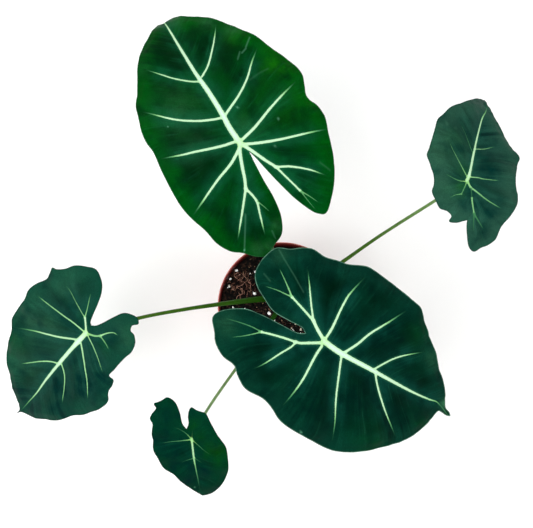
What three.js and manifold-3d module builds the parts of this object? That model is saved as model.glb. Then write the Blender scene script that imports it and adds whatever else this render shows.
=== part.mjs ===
// A potted alocasia with five velvety, white-veined leaves in a 12 cm nursery pot.
// Millimetres, +Z up. The origin is the centre of the pot's foot, on the surface it stands on.
import * as THREE from "three";
import { mergeVertices } from "three/addons/utils/BufferGeometryUtils.js";
import Module from "manifold-3d";

const wasm = await Module();
wasm.setup();

// Driving dimensions
const GAP = 0.3;
const POT = {
  height: 105, rim: 60.5, collar: 59.4, collarDepth: 24, shoulder: 56, foot: 43,
  wall: 1.2, floor: 1.6, footRing: 6, footLift: 3, padRadius: 14, slope: 2, lipDrop: 3, lipEdge: 0.6,
};
const DRAIN = { count: 8, radius: 4, circle: 26, sides: 12 };
const SOIL = { level: 92.5, mound: 2, moundRadius: 22, bank: 1.5, uneven: 0.6 };
const CROWN = { x: 3, y: 6, z: 96, radius: 13.5, depth: 38, petioleCircle: 8, sheathCircle: 11.9 };
const ROOTS = { count: 6, first: 25, base: 1.7, tip: 0.9, twist: 90 };
const BLADE = {
  thickness: 1, rings: [0, 0.5, 1], midribSteps: 13, lobeSteps: 7, midribReach: 0.95, lobeReach: 0.7,
};
const PETIOLE = { sides: 8, steps: 18, flare: 4 };
const SHEATH = { halfThick: 0.35, halfTurn: 15, taper: 0.85, lean: 2.6, steps: 6 };

const COLOURS = {
  pot: 0xa8452f, soil: 0x241710, corm: 0x6b4a2c, cataphyll: 0x8a6b45,
  petiole: 0x4a7a22, blade: 0x0b4a28, perlite: 0xf1eee4, bark: 0x5a3320,
};

// One leaf: where the blade joins its stalk, its heading and pitch there, how it arches along the
// midrib (degrees per mm behind the joint, ahead of it, and in the tip past curlFrom), its fold and
// droop across the midrib, the twist along it, and the wave of its margin. The edges are points
// [along, across] in mm from the joint: both run from the tip round the lobe to the notch.
const LEAVES = {
  a: {
    joint: [-36, 104, 325], heading: 119.7, pitch: 6, bendBack: 0.14, bendAhead: 0.14,
    curlFrom: 126, curl: 2.7, fold: 8, droop: 0.22, twist: 0, wave: 2.0, waveLength: 52, halfWidth: 72,
    left: [[153, 0], [147, 4.3], [139, 9.6], [130, 18.3], [120, 30], [107, 40], [93, 47], [83, 52.5],
      [75, 58], [64, 61], [50, 65], [40, 66], [30, 65], [12, 67], [-8, 68], [-25, 67.3], [-38, 64.5],
      [-50, 60.5], [-63, 57.5], [-74, 51], [-80, 43.3], [-88, 35], [-91.5, 27], [-87, 18], [-82, 8],
      [-70, 1], [-54, -2], [-36, -2], [-20, -2.5], [-10, -3]],
    right: [[153, 0], [147, -4.5], [139, -9.5], [130, -17], [121, -27.5], [109, -39], [98, -45.6],
      [88, -51.7], [76, -58], [62, -63], [48, -69], [34, -73], [24, -73], [16, -70], [7, -67], [-4, -71],
      [-16, -71], [-30, -66], [-44, -61.5], [-62, -53], [-76, -42], [-85, -31], [-81, -25.5],
      [-76, -22.8], [-62, -17], [-45, -12], [-28, -7.8], [-16, -5], [-10, -3]],
  },
  b: {
    joint: [30, -62, 362], heading: -27.9, pitch: 12, bendBack: 0.2, bendAhead: 0.2,
    curlFrom: 112, curl: 1, fold: 8, droop: 0.25, twist: 0, wave: 2.0, waveLength: 48, halfWidth: 72,
    left: [[131, 0], [126, 2], [119.5, 4.8], [113, 13], [105, 21], [95, 28], [86, 38], [75, 45.6],
      [65, 54], [57, 61], [48, 63], [28, 66.5], [12, 68], [2, 68], [-10, 63], [-20, 61], [-32, 58.5],
      [-41, 59.4], [-47, 57.5], [-57, 51], [-67, 46.5], [-72, 35], [-72, 21], [-66, 13], [-57, 7.3],
      [-46, 1.8], [-32, 1], [-20, 1], [-16, -1.5]],
    right: [[131, 0], [125, 0.3], [119, 0], [116.5, -2], [114, -9], [108, -22], [98, -36.2], [86, -47.3],
      [72, -58], [58, -67], [46, -71.2], [27, -72.3], [8, -72], [-2, -70], [-12, -64.7], [-21, -61.3],
      [-37, -60.3], [-47, -54], [-53, -48.8], [-64, -46.6], [-73, -40], [-77, -34], [-84.5, -25],
      [-84, -20], [-77, -13.2], [-66, -7], [-52, -5], [-35, -4.6], [-21, -4], [-16, -1.5]],
  },
  c: {
    joint: [-166, -44, 262], heading: 225.8, pitch: 28, bendBack: 0.2, bendAhead: 0.18,
    curlFrom: 105, curl: 0.8, fold: 8, droop: 0.25, twist: 0, wave: 1.8, waveLength: 36, halfWidth: 56,
    left: [[118, -5], [112, -2], [109, 3.5], [103, 12], [95, 19], [87, 27], [77, 32.4], [68, 36.5],
      [60, 43], [51, 47], [42, 51], [31, 52.2], [24.5, 47], [17, 46], [12, 44], [12, 39], [4, 39],
      [-9, 39], [-18, 40], [-27, 37], [-31, 32], [-31, 28], [-35, 26], [-40, 29], [-43, 25],
      [-41, 18], [-37, 13], [-28, 9], [-17, 5], [-10.5, 1.5], [-8.7, -0.8]],
    right: [[118, -5], [110.5, -5.3], [103, -12], [96, -20], [86, -29], [78, -38], [69, -45], [57, -48],
      [48, -51.6], [40, -58], [31, -59], [16, -58.8], [9, -61.5], [0, -60], [-11, -55.5], [-22, -56.8],
      [-29, -49], [-37, -44.5], [-44, -36], [-48, -28], [-45, -20], [-38, -13], [-28, -8.5], [-16, -5],
      [-10.5, -3], [-8.7, -0.8]],
  },
  d: {
    joint: [157, 88, 255], heading: 75.2, pitch: 16, bendBack: 0.2, bendAhead: 0.2,
    curlFrom: 70, curl: 0.8, fold: 12, droop: 0.35, twist: 0.3, wave: 1.6, waveLength: 32, halfWidth: 43,
    left: [[101, 1], [95, 4], [88, 9], [80, 15], [69, 24], [60, 32], [52, 36], [46, 39], [32, 39],
      [18, 39], [11, 39.3], [4, 35], [-5, 29], [-12, 27], [-19, 27], [-26, 22], [-32, 17], [-33, 10],
      [-36, 6], [-41, 7], [-41, 1], [-37, -8]],
    right: [[101, 1], [97, -1.5], [92, -3.5], [89, -8], [80, -12], [67, -20], [55, -27], [46, -34],
      [39, -41], [33, -40.4], [20, -40], [8, -41], [-4, -45], [-14, -46], [-26, -43], [-37, -38],
      [-51, -35.7], [-57, -31], [-60, -26], [-64, -21], [-61, -16], [-50, -11], [-43, -9], [-37, -8]],
  },
  e: {
    joint: [-79, -130, 215], heading: 277.3, pitch: 25, bendBack: 0.25, bendAhead: 0.3,
    curlFrom: 50, curl: 0.8, fold: 10, droop: 0.35, twist: 0, wave: 1.2, waveLength: 24, halfWidth: 32,
    left: [[59, 2], [57, 9], [51, 17], [42, 24], [32, 28], [20, 29], [9.5, 28.2], [-3, 22], [-14, 18],
      [-22, 15], [-25, 8], [-28, 3], [-21, -0.5], [-14, -1], [-10, -3.3]],
    right: [[59, 2], [54, -2], [47, -8], [38, -15], [30, -20], [24, -27], [13, -31], [4, -34],
      [-4, -33], [-9, -33.4], [-14.5, -32.4], [-18.5, -31.4], [-23, -33], [-27, -31], [-32, -27],
      [-36.5, -25.3], [-38, -21], [-40, -16], [-35, -10], [-25, -7], [-15, -6], [-10, -3.3]],
  },
};

// The stalks: the place of each base round the crown, the radii at base and top, and the points
// that the stalk passes on its way up to its blade's joint.
const STALKS = {
  a: { at: 95, base: 4.2, top: 2.4, via: [[1, 20, 140], [-8, 40, 205], [-20, 70, 270]] },
  b: { at: 305, base: 4.2, top: 2.5, via: [[10, -6, 150], [15, -19, 220], [22, -40, 295]] },
  c: { at: 170, base: 4.0, top: 1.6, via: [[-19, 4, 121], [-38, -1, 142], [-91, -16, 195], [-126, -27.5, 228]] },
  d: { at: 20, base: 4.0, top: 1.4, via: [[25, 16, 129], [54, 32, 163], [86, 50.5, 195], [131, 74, 236]] },
  e: { at: 237, base: 2.6, top: 1.3, via: [[-17, -27, 127], [-42, -65, 165], [-67, -105, 196]] },
};
const CATAPHYLLS = [{ at: 58, height: 24 }, { at: 131, height: 19 }, { at: 342, height: 27 }];
const PERLITE = [
  [-43, 35, 1.3], [-49, 27, 1.2], [-50, 20, 1.1], [-26, 13, 1.5], [-25, 34, 1.2], [-46, 0, 1.1],
  [-12, -6, 1.6], [13, -16, 1.2], [9, -20, 0.9], [18, -21, 1.3], [33, 26, 1.4], [24, -41, 1.2],
];
const BARK = [[-37, -24, 3.2, 20], [20, 38, 3.6, 75], [38, -8, 3.0, 130], [-12, 44, 2.8, 160]];
const GRAINS = { bed: 0.4, sunk: 0.25, tilt: 0.2, perlite: [0.8, 1.15], bark: [0.3, 1.7] };

const rad = THREE.MathUtils.degToRad;

// Turns an open or unmerged geometry into a closed solid with its faces pointing out.
function toSolid(geometry) {
  const bare = new THREE.BufferGeometry();
  bare.setAttribute("position", geometry.getAttribute("position"));
  bare.setIndex(geometry.index);
  const merged = mergeVertices(bare, 1e-4);
  const at = merged.getAttribute("position").array;
  const triangles = [];
  let volume = 0;
  for (let i = 0; i < merged.index.count; i += 3) {
    const [p, q, r] = [0, 1, 2].map((k) => merged.index.getX(i + k));
    if (p === q || q === r || r === p) continue;
    const [a, b, c] = [p, q, r].map((k) => new THREE.Vector3().fromArray(at, 3 * k));
    volume += a.dot(b.cross(c));
    triangles.push(p, q, r);
  }
  if (volume < 0) triangles.reverse();
  const mesh = new wasm.Mesh({
    numProp: 3, vertProperties: new Float32Array(at), triVerts: new Uint32Array(triangles),
  });
  return new wasm.Manifold(mesh);
}

function toGeometry(solid) {
  const mesh = solid.getMesh();
  const geometry = new THREE.BufferGeometry();
  geometry.setAttribute("position", new THREE.BufferAttribute(new Float32Array(mesh.vertProperties), 3));
  geometry.setIndex(Array.from(mesh.triVerts));
  return geometry;
}

// Turns a closed [radius, height] profile round the Z axis.
function revolve(profile, sides) {
  const points = profile.map(([r, z]) => new THREE.Vector2(r, z));
  return new THREE.LatheGeometry(points, sides).rotateX(Math.PI / 2);
}

// Closed skin over a stack of rings with the same number of points each, capped at both ends.
function loft(rings) {
  const positions = [];
  const index = [];
  const n = rings[0].length;
  for (const point of rings.flat()) positions.push(point.x, point.y, point.z);
  for (let k = 0; k + 1 < rings.length; k += 1) {
    for (let i = 0; i < n; i += 1) {
      const j = (i + 1) % n;
      index.push(k * n + i, k * n + j, (k + 1) * n + j, k * n + i, (k + 1) * n + j, (k + 1) * n + i);
    }
  }
  for (const [k, turn] of [[0, true], [rings.length - 1, false]]) {
    for (let i = 1; i + 1 < n; i += 1) {
      const cap = [k * n, k * n + i, k * n + i + 1];
      index.push(...(turn ? cap.reverse() : cap));
    }
  }
  const geometry = new THREE.BufferGeometry();
  geometry.setAttribute("position", new THREE.Float32BufferAttribute(positions, 3));
  geometry.setIndex(index);
  return geometry;
}

// A round stem along a smooth curve, its radius given at 0 to 1 along it.
function stem(points, radiusAt, sides, steps) {
  const curve = new THREE.CatmullRomCurve3(points.map((p) => new THREE.Vector3(...p)), false, "centripetal");
  const frames = curve.computeFrenetFrames(steps, false);
  const rings = [];
  for (let k = 0; k <= steps; k += 1) {
    const centre = curve.getPointAt(k / steps);
    const ring = [];
    for (let i = 0; i < sides; i += 1) {
      const turn = (i / sides) * 2 * Math.PI;
      ring.push(centre.clone()
        .addScaledVector(frames.normals[k], radiusAt(k / steps) * Math.cos(turn))
        .addScaledVector(frames.binormals[k], radiusAt(k / steps) * Math.sin(turn)));
    }
    rings.push(ring);
  }
  return loft(rings);
}

// The pot: an injection-moulded shell with a lipped collar, a recessed floor and drain holes.
function makePot() {
  const { height, rim, collar, collarDepth, shoulder, foot, wall, floor } = POT;
  const { footRing, footLift, padRadius, slope, lipDrop, lipEdge } = POT;
  const step = height - collarDepth;
  const ring = foot - footRing;
  const recess = footLift + floor;
  const profile = [
    [0, 0], [padRadius, 0], [padRadius + slope, footLift], [ring - slope, footLift], [ring, 0], [foot, 0],
    [shoulder, step - slope], [collar - 0.4, step], [collar, height - lipDrop],
    [rim, height - lipDrop + 0.8], [rim, height - lipEdge], [rim - lipEdge, height],
    [rim - wall - lipEdge, height], [collar - wall, height - lipDrop], [collar - wall - 0.4, step + wall],
    [shoulder - wall, step - slope + wall], [foot - wall, floor], [ring + 1, floor], [ring - 1, recess],
    [padRadius + 1, recess], [padRadius - 1, floor], [0, floor],
  ];
  let pot = toSolid(revolve(profile, 48));
  for (let i = 0; i < DRAIN.count; i += 1) {
    const turn = (i / DRAIN.count) * 2 * Math.PI;
    const drill = new THREE.CylinderGeometry(DRAIN.radius, DRAIN.radius, 4 * footLift, DRAIN.sides)
      .rotateX(Math.PI / 2)
      .translate(DRAIN.circle * Math.cos(turn), DRAIN.circle * Math.sin(turn), footLift);
    pot = pot.subtract(toSolid(drill));
  }
  return pot;
}

// Height of the mix over its mean level: mounded at the crown, banked up at the wall, and uneven.
function soilRise(x, y) {
  const fromCrown = Math.hypot(x - CROWN.x, y - CROWN.y);
  const mound = SOIL.mound * Math.exp(-((fromCrown / SOIL.moundRadius) ** 2));
  const bank = SOIL.bank * (Math.hypot(x, y) / POT.rim) ** 6;
  const uneven = Math.sin(x / 7 + 1) * Math.cos(y / 6) + Math.sin((x + y) / 11);
  return mound + bank + SOIL.uneven * uneven;
}

// The mix fills the pot, about 0.4 mm clear of its wall, up to its own uneven surface.
function makeSoil(hollows) {
  const { collar, shoulder, foot, wall, floor, footLift, padRadius, slope } = POT;
  const clear = wall + GAP + 0.1;
  const step = POT.height - POT.collarDepth + wall;
  const ring = foot - POT.footRing;
  const base = floor + GAP;
  const raised = footLift + floor + GAP;
  const surface = [50, 42, 34, 26, 18, 9, 0].map((r) => [r, SOIL.level]);
  const profile = [
    [0, base], [padRadius - 1.4, base], [padRadius + 0.8, raised], [ring - 0.8, raised], [ring + 1.2, base],
    [foot - clear - 0.2, base], [shoulder - clear, step - slope + 0.2], [collar - clear - 0.5, step + 0.4],
    [collar - clear - 0.4, SOIL.level], ...surface,
  ];
  const geometry = revolve(profile, 32);
  const at = geometry.getAttribute("position");
  for (let i = 0; i < at.count; i += 1) {
    const top = at.getZ(i) > SOIL.level - 0.1;
    if (top) at.setZ(i, SOIL.level + soilRise(at.getX(i), at.getY(i)));
  }
  let soil = toSolid(geometry);
  for (const hollow of hollows) soil = soil.subtract(hollow);
  return soil;
}

// The corm that all the leaves grow from, with its main roots. "grow" swells it, for its bed in the soil.
function makeCorm(grow = 0) {
  const { x, y, z, radius, depth } = CROWN;
  const profile = [
    [0, z - depth], [6, z - depth + 2], [11, z - 29], [13, z - 18], [12.4, z - 8], [radius, z - 3],
    [radius, z], [0, z],
  ];
  const swollen = profile.map(([r, h]) => [r && r + grow, h < z ? h - grow : h + grow]);
  let corm = toSolid(revolve(swollen, 20).translate(x, y, 0));
  const radiusAt = (t) => THREE.MathUtils.lerp(ROOTS.base, ROOTS.tip, t) + grow;
  for (let i = 0; i < ROOTS.count; i += 1) {
    const turn = rad(ROOTS.first + (360 / ROOTS.count) * i);
    const place = (r, h) => {
      const swirl = turn + h / ROOTS.twist;
      return [x + r * Math.cos(swirl), y + r * Math.sin(swirl), h];
    };
    const route = [
      place(8, 74), place(17, 66 - 2 * i), place(25, 50), place(29, 30 - grow), place(28, 16 - grow),
    ];
    corm = corm.add(toSolid(stem(route, radiusAt, 6, 8)));
  }
  return corm;
}

// Pitch, run and rise along the midrib: three arcs, behind the joint, ahead of it and in the tip.
function midribAt(leaf, along) {
  const arc = (start, degreesPerMm, distance) => {
    const bend = rad(degreesPerMm);
    const end = start + bend * distance;
    return [end, (Math.sin(end) - Math.sin(start)) / bend, (Math.cos(end) - Math.cos(start)) / bend];
  };
  if (along < 0) return arc(rad(leaf.pitch), leaf.bendBack, along);
  const first = arc(rad(leaf.pitch), leaf.bendAhead, Math.min(along, leaf.curlFrom));
  if (along <= leaf.curlFrom) return first;
  const tip = arc(first[0], leaf.curl, along - leaf.curlFrom);
  return [tip[0], first[1] + tip[1], first[2] + tip[2]];
}

// The point of the blade's mid-surface at [along, across], in the plant's frame.
function bladeAt(leaf, along, across) {
  const [pitch, run, rise] = midribAt(leaf, along);
  const fold = rad(leaf.fold);
  const lean = fold - rad(leaf.droop) * Math.abs(across);
  const flatSide = (Math.sign(across) * (Math.sin(fold) - Math.sin(lean))) / rad(leaf.droop);
  const flatLift = (Math.cos(lean) - Math.cos(fold)) / rad(leaf.droop);
  const turn = rad(leaf.twist) * along;
  const side = flatSide * Math.cos(turn) - flatLift * Math.sin(turn);
  const ripple = Math.sin((2 * Math.PI * along) / leaf.waveLength + Math.sign(across));
  const lift = flatSide * Math.sin(turn) + flatLift * Math.cos(turn)
    + leaf.wave * (across / leaf.halfWidth) ** 2 * ripple;
  const forward = run + Math.sin(pitch) * lift;
  const heading = rad(leaf.heading);
  return new THREE.Vector3(
    leaf.joint[0] + forward * Math.cos(heading) - side * Math.sin(heading),
    leaf.joint[1] + forward * Math.sin(heading) + side * Math.cos(heading),
    leaf.joint[2] + rise + Math.cos(pitch) * lift,
  );
}

// The blade's surface raised or lowered along its normal.
function bladeOffset(leaf, along, across, offset) {
  const d = 0.5;
  const ahead = bladeAt(leaf, along + d, across).sub(bladeAt(leaf, along - d, across));
  const aside = bladeAt(leaf, along, across + d).sub(bladeAt(leaf, along, across - d));
  return bladeAt(leaf, along, across).addScaledVector(ahead.cross(aside).normalize(), offset);
}

// Evenly spaced points along a smooth line, first and last included.
function respace(points, steps) {
  const places = points.map(([along, across]) => new THREE.Vector3(along, across, 0));
  const curve = new THREE.CatmullRomCurve3(places, false, "centripetal");
  return curve.getSpacedPoints(steps).map((p) => [p.x, p.y]);
}

// One half of the blade's edge, split at the widest point level with the joint and at the lobe's end.
// Each edge point gets a core point on the midrib or on the lobe's own rib.
function halfBlade(points) {
  const tip = points[0];
  const level = points.findIndex(([along]) => along <= 0);
  const ends = points.map(([along, across]) => (along < 0 ? Math.hypot(along, across / 2) : 0));
  const lobe = ends.indexOf(Math.max(...ends));
  const edge = [
    ...respace(points.slice(0, level + 1), BLADE.midribSteps),
    ...respace(points.slice(level, lobe + 1), BLADE.lobeSteps).slice(1),
    ...respace(points.slice(lobe), BLADE.lobeSteps).slice(1),
  ];
  const [lobeAlong, lobeAcross] = points[lobe].map((v) => v * BLADE.lobeReach);
  const core = edge.map((_, i) => {
    const pastJoint = i - BLADE.midribSteps;
    const t = pastJoint < 0 ? 0 : 1 - Math.abs(pastJoint / BLADE.lobeSteps - 1);
    if (pastJoint < 0) return [(-pastJoint / BLADE.midribSteps) * tip[0] * BLADE.midribReach, 0];
    return [lobeAlong * t, lobeAcross * t];
  });
  return { edge, core };
}

function makeBlade(leaf) {
  const left = halfBlade(leaf.left);
  const right = halfBlade(leaf.right);
  const around = (key) => [...left[key], ...right[key].slice(1, -1).reverse()];
  const edge = around("edge");
  const core = around("core");
  const n = edge.length;
  const half = BLADE.thickness / 2;
  const positions = [];
  const index = [];
  const levels = [...BLADE.rings.map((f) => [f, half]), ...[...BLADE.rings].reverse().map((f) => [f, -half])];
  for (const [f, offset] of levels) {
    for (let i = 0; i < n; i += 1) {
      const along = THREE.MathUtils.lerp(core[i][0], edge[i][0], f);
      const across = THREE.MathUtils.lerp(core[i][1], edge[i][1], f);
      positions.push(...bladeOffset(leaf, along, across, offset));
    }
  }
  for (let k = 0; k + 1 < levels.length; k += 1) {
    for (let i = 0; i < n; i += 1) {
      const j = (i + 1) % n;
      index.push(k * n + i, (k + 1) * n + j, k * n + j, k * n + i, (k + 1) * n + i, (k + 1) * n + j);
    }
  }
  const geometry = new THREE.BufferGeometry();
  geometry.setAttribute("position", new THREE.Float32BufferAttribute(positions, 3));
  geometry.setIndex(index);
  return toSolid(geometry);
}

// A small block that fills the room over the joint, from just under the blade, to trim the stalk's end.
function overJoint(leaf) {
  const reach = 9;
  const height = 12;
  const under = -BLADE.thickness / 2 - 1.5 * GAP;
  const spots = [-1, -2 / 3, -1 / 3, 0, 1 / 3, 2 / 3, 1].map((f) => f * reach);
  const rings = spots.map((along) => [
    ...spots.map((across) => bladeOffset(leaf, along, across, under)),
    bladeOffset(leaf, along, reach, height), bladeOffset(leaf, along, -reach, height),
  ]);
  return toSolid(loft(rings));
}

// From the crown, straight up for a short way, past the given points and on to the blade's joint.
function stalkRoute(key) {
  const { at, via } = STALKS[key];
  const { x, y, z, petioleCircle } = CROWN;
  const foot = (h, r) => [x + r * Math.cos(rad(at)), y + r * Math.sin(rad(at)), h];
  return [foot(z + 2 * GAP, petioleCircle), foot(z + 6, petioleCircle + 0.2), ...via, LEAVES[key].joint];
}

// A stalk is slender and swells towards its base.
function makeStalk(key) {
  const { base, top } = STALKS[key];
  const { sides, steps, flare } = PETIOLE;
  const radiusAt = (t) => top + (base - top) * (1 - t) ** flare;
  const stalk = toSolid(stem(stalkRoute(key), radiusAt, sides, steps));
  return stalk.subtract(overJoint(LEAVES[key]));
}

// A papery sheath leaf that hugs the crown between two stalks.
function makeCataphyll({ at, height }) {
  const { halfThick, taper, lean, steps } = SHEATH;
  const section = [[0, -1], [1, -1], [1, 1], [0, 1], [-1, 1], [-1, -1]];
  const rings = [];
  for (let k = 0; k <= steps; k += 1) {
    const t = k / steps;
    const halfTurn = rad(SHEATH.halfTurn) * (1 - taper * t * t);
    const out = CROWN.sheathCircle + lean * t * t;
    const z = CROWN.z + GAP + height * t;
    rings.push(section.map(([side, face]) => {
      const turn = rad(at) + side * halfTurn;
      const r = out + face * halfThick;
      return new THREE.Vector3(CROWN.x + r * Math.cos(turn), CROWN.y + r * Math.sin(turn), z);
    }));
  }
  return toSolid(loft(rings));
}

// A grain half sunk in the soil: a squashed, tilted polyhedron. "grow" swells it, for its bed.
function makeGrain([x, y, radius], order, [squash, stretch], turnDegrees, grow) {
  const grain = new THREE.IcosahedronGeometry(1, 0)
    .scale(radius * stretch + grow, radius + grow, radius * squash + grow)
    .rotateX(GRAINS.tilt * Math.sin(order))
    .rotateZ(rad(turnDegrees))
    .translate(x, y, SOIL.level + soilRise(x, y) + GRAINS.sunk * radius);
  return toSolid(grain);
}

function makePerlite(grow) {
  return PERLITE.map((grain, i) => makeGrain(grain, i, GRAINS.perlite, 50 * i, grow));
}

function makeBark(grow) {
  return BARK.map(([x, y, size, turn], i) => makeGrain([x, y, size], i, GRAINS.bark, turn, grow));
}

function finish(colour, roughness) {
  return new THREE.MeshStandardMaterial({ color: colour, roughness, metalness: 0 });
}

const plant = new THREE.Group();
function addPart(name, solid, colour, roughness) {
  const mesh = new THREE.Mesh(toGeometry(solid), finish(colour, roughness));
  mesh.name = name;
  plant.add(mesh);
}

addPart("pot", makePot(), COLOURS.pot, 0.45);
const beds = [makeCorm(GAP), ...makePerlite(GRAINS.bed), ...makeBark(GRAINS.bed)];
addPart("soil_mix", makeSoil(beds), COLOURS.soil, 0.95);
addPart("corm", makeCorm(), COLOURS.corm, 0.85);
for (const key of Object.keys(LEAVES)) {
  addPart(`petiole_${key}`, makeStalk(key), COLOURS.petiole, 0.45);
  addPart(`blade_${key}`, makeBlade(LEAVES[key]), COLOURS.blade, 0.6);
}
CATAPHYLLS.forEach((sheath, i) => {
  addPart(`cataphyll_${i + 1}`, makeCataphyll(sheath), COLOURS.cataphyll, 0.8);
});
makePerlite(0).forEach((grain, i) => {
  addPart(`perlite_${String(i + 1).padStart(2, "0")}`, grain, COLOURS.perlite, 0.9);
});
makeBark(0).forEach((chip, i) => addPart(`bark_chip_${i + 1}`, chip, COLOURS.bark, 0.9));

export default plant;
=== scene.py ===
"""A potted alocasia: five velvety, white-veined leaves on slender stalks in a small nursery pot.

The plant's own measures are in millimetres and are scaled by MM as each mesh is made.
"""
import math
import random

import bmesh
import bpy
import numpy as np
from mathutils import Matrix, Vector, geometry, noise


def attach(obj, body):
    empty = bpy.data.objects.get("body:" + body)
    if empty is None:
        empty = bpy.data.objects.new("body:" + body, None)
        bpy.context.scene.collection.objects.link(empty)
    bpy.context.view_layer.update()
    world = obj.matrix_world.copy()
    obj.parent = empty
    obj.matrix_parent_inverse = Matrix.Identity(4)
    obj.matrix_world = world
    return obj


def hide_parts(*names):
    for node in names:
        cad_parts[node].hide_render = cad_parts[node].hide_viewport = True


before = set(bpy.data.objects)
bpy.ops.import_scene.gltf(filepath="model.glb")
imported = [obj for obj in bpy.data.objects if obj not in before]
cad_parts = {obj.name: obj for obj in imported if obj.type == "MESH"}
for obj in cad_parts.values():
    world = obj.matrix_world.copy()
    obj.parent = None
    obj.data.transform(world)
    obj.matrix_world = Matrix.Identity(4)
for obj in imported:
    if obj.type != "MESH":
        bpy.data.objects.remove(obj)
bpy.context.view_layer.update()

MM = 0.001

# The pot: radii, depths and thicknesses. Its corners are rounded. The drain cutters run from low to high.
POT = {"height": 105, "rim": 60.5, "mouth": 58.7, "collar": 59.4, "collar_depth": 24, "shoulder": 56,
       "foot": 43, "wall": 1.2, "floor": 1.6, "foot_ring": 6, "foot_lift": 3, "pad": 14, "corner": 0.8,
       "sides": 144, "sharp_above": 35}
DRAIN = {"count": 8, "radius": 4, "circle": 26, "low": 1, "high": 7, "sides": 40}

# The mix: its level at the middle, the rise round the crown and at the wall, its relief, and the
# places where loose bits may lie.
SOIL = {"level": 92.5, "mound": 2, "mound_radius": 22, "bank": 1.5, "uneven": 0.6, "waves": (7, 6, 11),
        "gap": 0.3, "reach": 57.8, "crumble": 1.1, "rings": 92, "sides": 330, "strewn": 56.6,
        "off_crown": 14.5}
HOLLOW = {"middle": (-48, 9), "reach": 7, "slope": 6, "depth": 1.6}
# Loose bits on the mix: crumbs, some of them large, and coir fibres in one tuft and singly
CRUMBS = {"count": 1300, "large": 0.2, "large_size": (0.7, 1.2), "small_size": (0.3, 0.7)}
FIBRES = {"tuft": 110, "tuft_middle": (-39, 22), "tuft_reach": 11, "loose": 160, "length": (2.6, 6.4),
          "radius": (0.12, 0.22), "limit": 57, "steps": 6}
FIBRE_TAPER = (0.5, 0.9, 1, 1, 0.95, 0.8, 0.4)

# White grains (x, y, radius, whiteness), small specks and bark (x, y, size, turn) on the mix
PERLITE = [
    (-43, 35, 1.3, 0.95), (-49, 27, 1.2, 0.95), (-50, 20, 1.1, 0.7), (-26, 13, 1.5, 0.95),
    (-25, 34, 1.2, 0.9), (-46, 0, 1.1, 0.8), (-12, -6, 1.6, 0.95), (13, -16, 1.0, 0.16),
    (9, -20, 0.8, 0.2), (18, -21, 1.1, 0.16), (33, 26, 1.4, 0.9), (24, -41, 1.2, 0.9),
]
SPECKS = {"strewn": 22, "heap": 8, "heap_middle": (12, -18), "heap_reach": 9, "radius": (0.35, 0.65)}
BARK = [(-37, -24, 3.2, 20), (20, 38, 3.6, 75), (38, -8, 3.0, 130), (-12, 44, 2.8, 160)]
SUNK = 0.25

# The crown: the corm with its roots, the circles on which stalks and sheaths stand, and the sheaths
# (place round the crown, height)
CROWN = {"x": 3, "y": 6, "z": 96, "radius": 13.5, "depth": 38, "sides": 72, "stalk_circle": 8,
         "sheath_circle": 11.9}
ROOTS = {"count": 6, "first": 25, "base": 1.7, "tip": 0.9, "twist": 90, "sides": 14}
SHEATHS = [(58, 24), (131, 19), (342, 27)]
SHEATH = {"half_thick": 0.3, "half_turn": 15, "taper": 0.85, "lean": 2.6}

# Each stalk: the place of its base round the crown, its radii at base and top, the points that it
# passes on its way up to its blade's joint, and its colours near the base, halfway and near the blade.
STALKS = {
    # Stalk a's colours halfway and near the blade are darker than stalk b's: painted shade where it runs
    # under two blades
    "a": {"at": 95, "base": 4.2, "top": 2.4, "via": [(0, 19, 140), (-11, 39, 205), (-22.5, 69, 270)],
          "tones": [(34, 66, 10), (40, 68, 12), (70, 104, 40)]},
    "b": {"at": 305, "base": 4.2, "top": 2.5, "via": [(10, -6, 150), (15, -19, 220), (22, -40, 295)],
          "tones": [(36, 68, 12), (62, 98, 18), (92, 122, 56)]},
    "c": {"at": 170, "base": 4.0, "top": 1.6,
          "via": [(-19, 4, 121), (-38, -1, 142), (-91, -16, 195), (-126, -27.5, 228)],
          "tones": [(24, 64, 3), (48, 86, 8), (73, 109, 36)]},
    "d": {"at": 20, "base": 4.0, "top": 1.4,
          "via": [(25, 16, 129), (54, 32, 163), (86, 50.5, 195), (131, 74, 236)],
          "tones": [(42, 74, 12), (69, 103, 38), (100, 130, 77)]},
    "e": {"at": 237, "base": 2.6, "top": 1.3, "via": [(-17, -27, 127), (-42, -65, 165), (-67, -105, 196)],
          "tones": [(24, 66, 14), (84, 112, 62), (120, 146, 100)]},
}
STALK = {"flare": 4, "sides": 28, "swell": 0.12, "swell_reach": 7, "groove": 0.09, "groove_width": 0.42,
         "wing": 0.7, "wing_reach": 30, "wing_at": 0.75, "wing_width": 0.28, "wobble": 0.03,
         "joint_reach": 12, "under_blade": 0.3}

# The lamina's relief: how it swells between the veins, pleats along the side veins, and frills at the
# margin. Then its half thickness at the margin and what is added inside it, how far broad veins stand
# up above, and the height and width of the rounded ribs below.
RELIEF = {"near": 0.6, "near_reach": 4, "quilt": 1.6, "quilt_reach": 12, "margin_reach": 6,
          "at_margin": 0.25, "pleat": 0.05, "pleat_size": 1.2, "pleat_reach": 4, "lump": 0.5,
          "lump_size": 17, "small_lump": 0.25, "small_lump_size": 6.5, "frill": 0.9, "frill_size": 9,
          "frill_reach": 3.5}
LAMINA = {"edge": 0.12, "inner": 0.16, "edge_reach": 1.2, "vein_crown": 0.3, "crown_reach": 1.5,
          "rib": 0.35, "rib_per_width": 0.75, "rib_wider": 1.35, "rib_beside": 0.25}

# How fine a blade's mesh is: between the points beside veins and marks, and in rows inside the margin
FINE = {"vein_line": 1.2, "mark_line": 0.8, "apart": 0.34, "off_fine": 0.72, "margin_rows": (0.5, 1.3),
        "beside_vein": 0.8, "broad": 0.9, "in_broad": 0.55}
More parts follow.
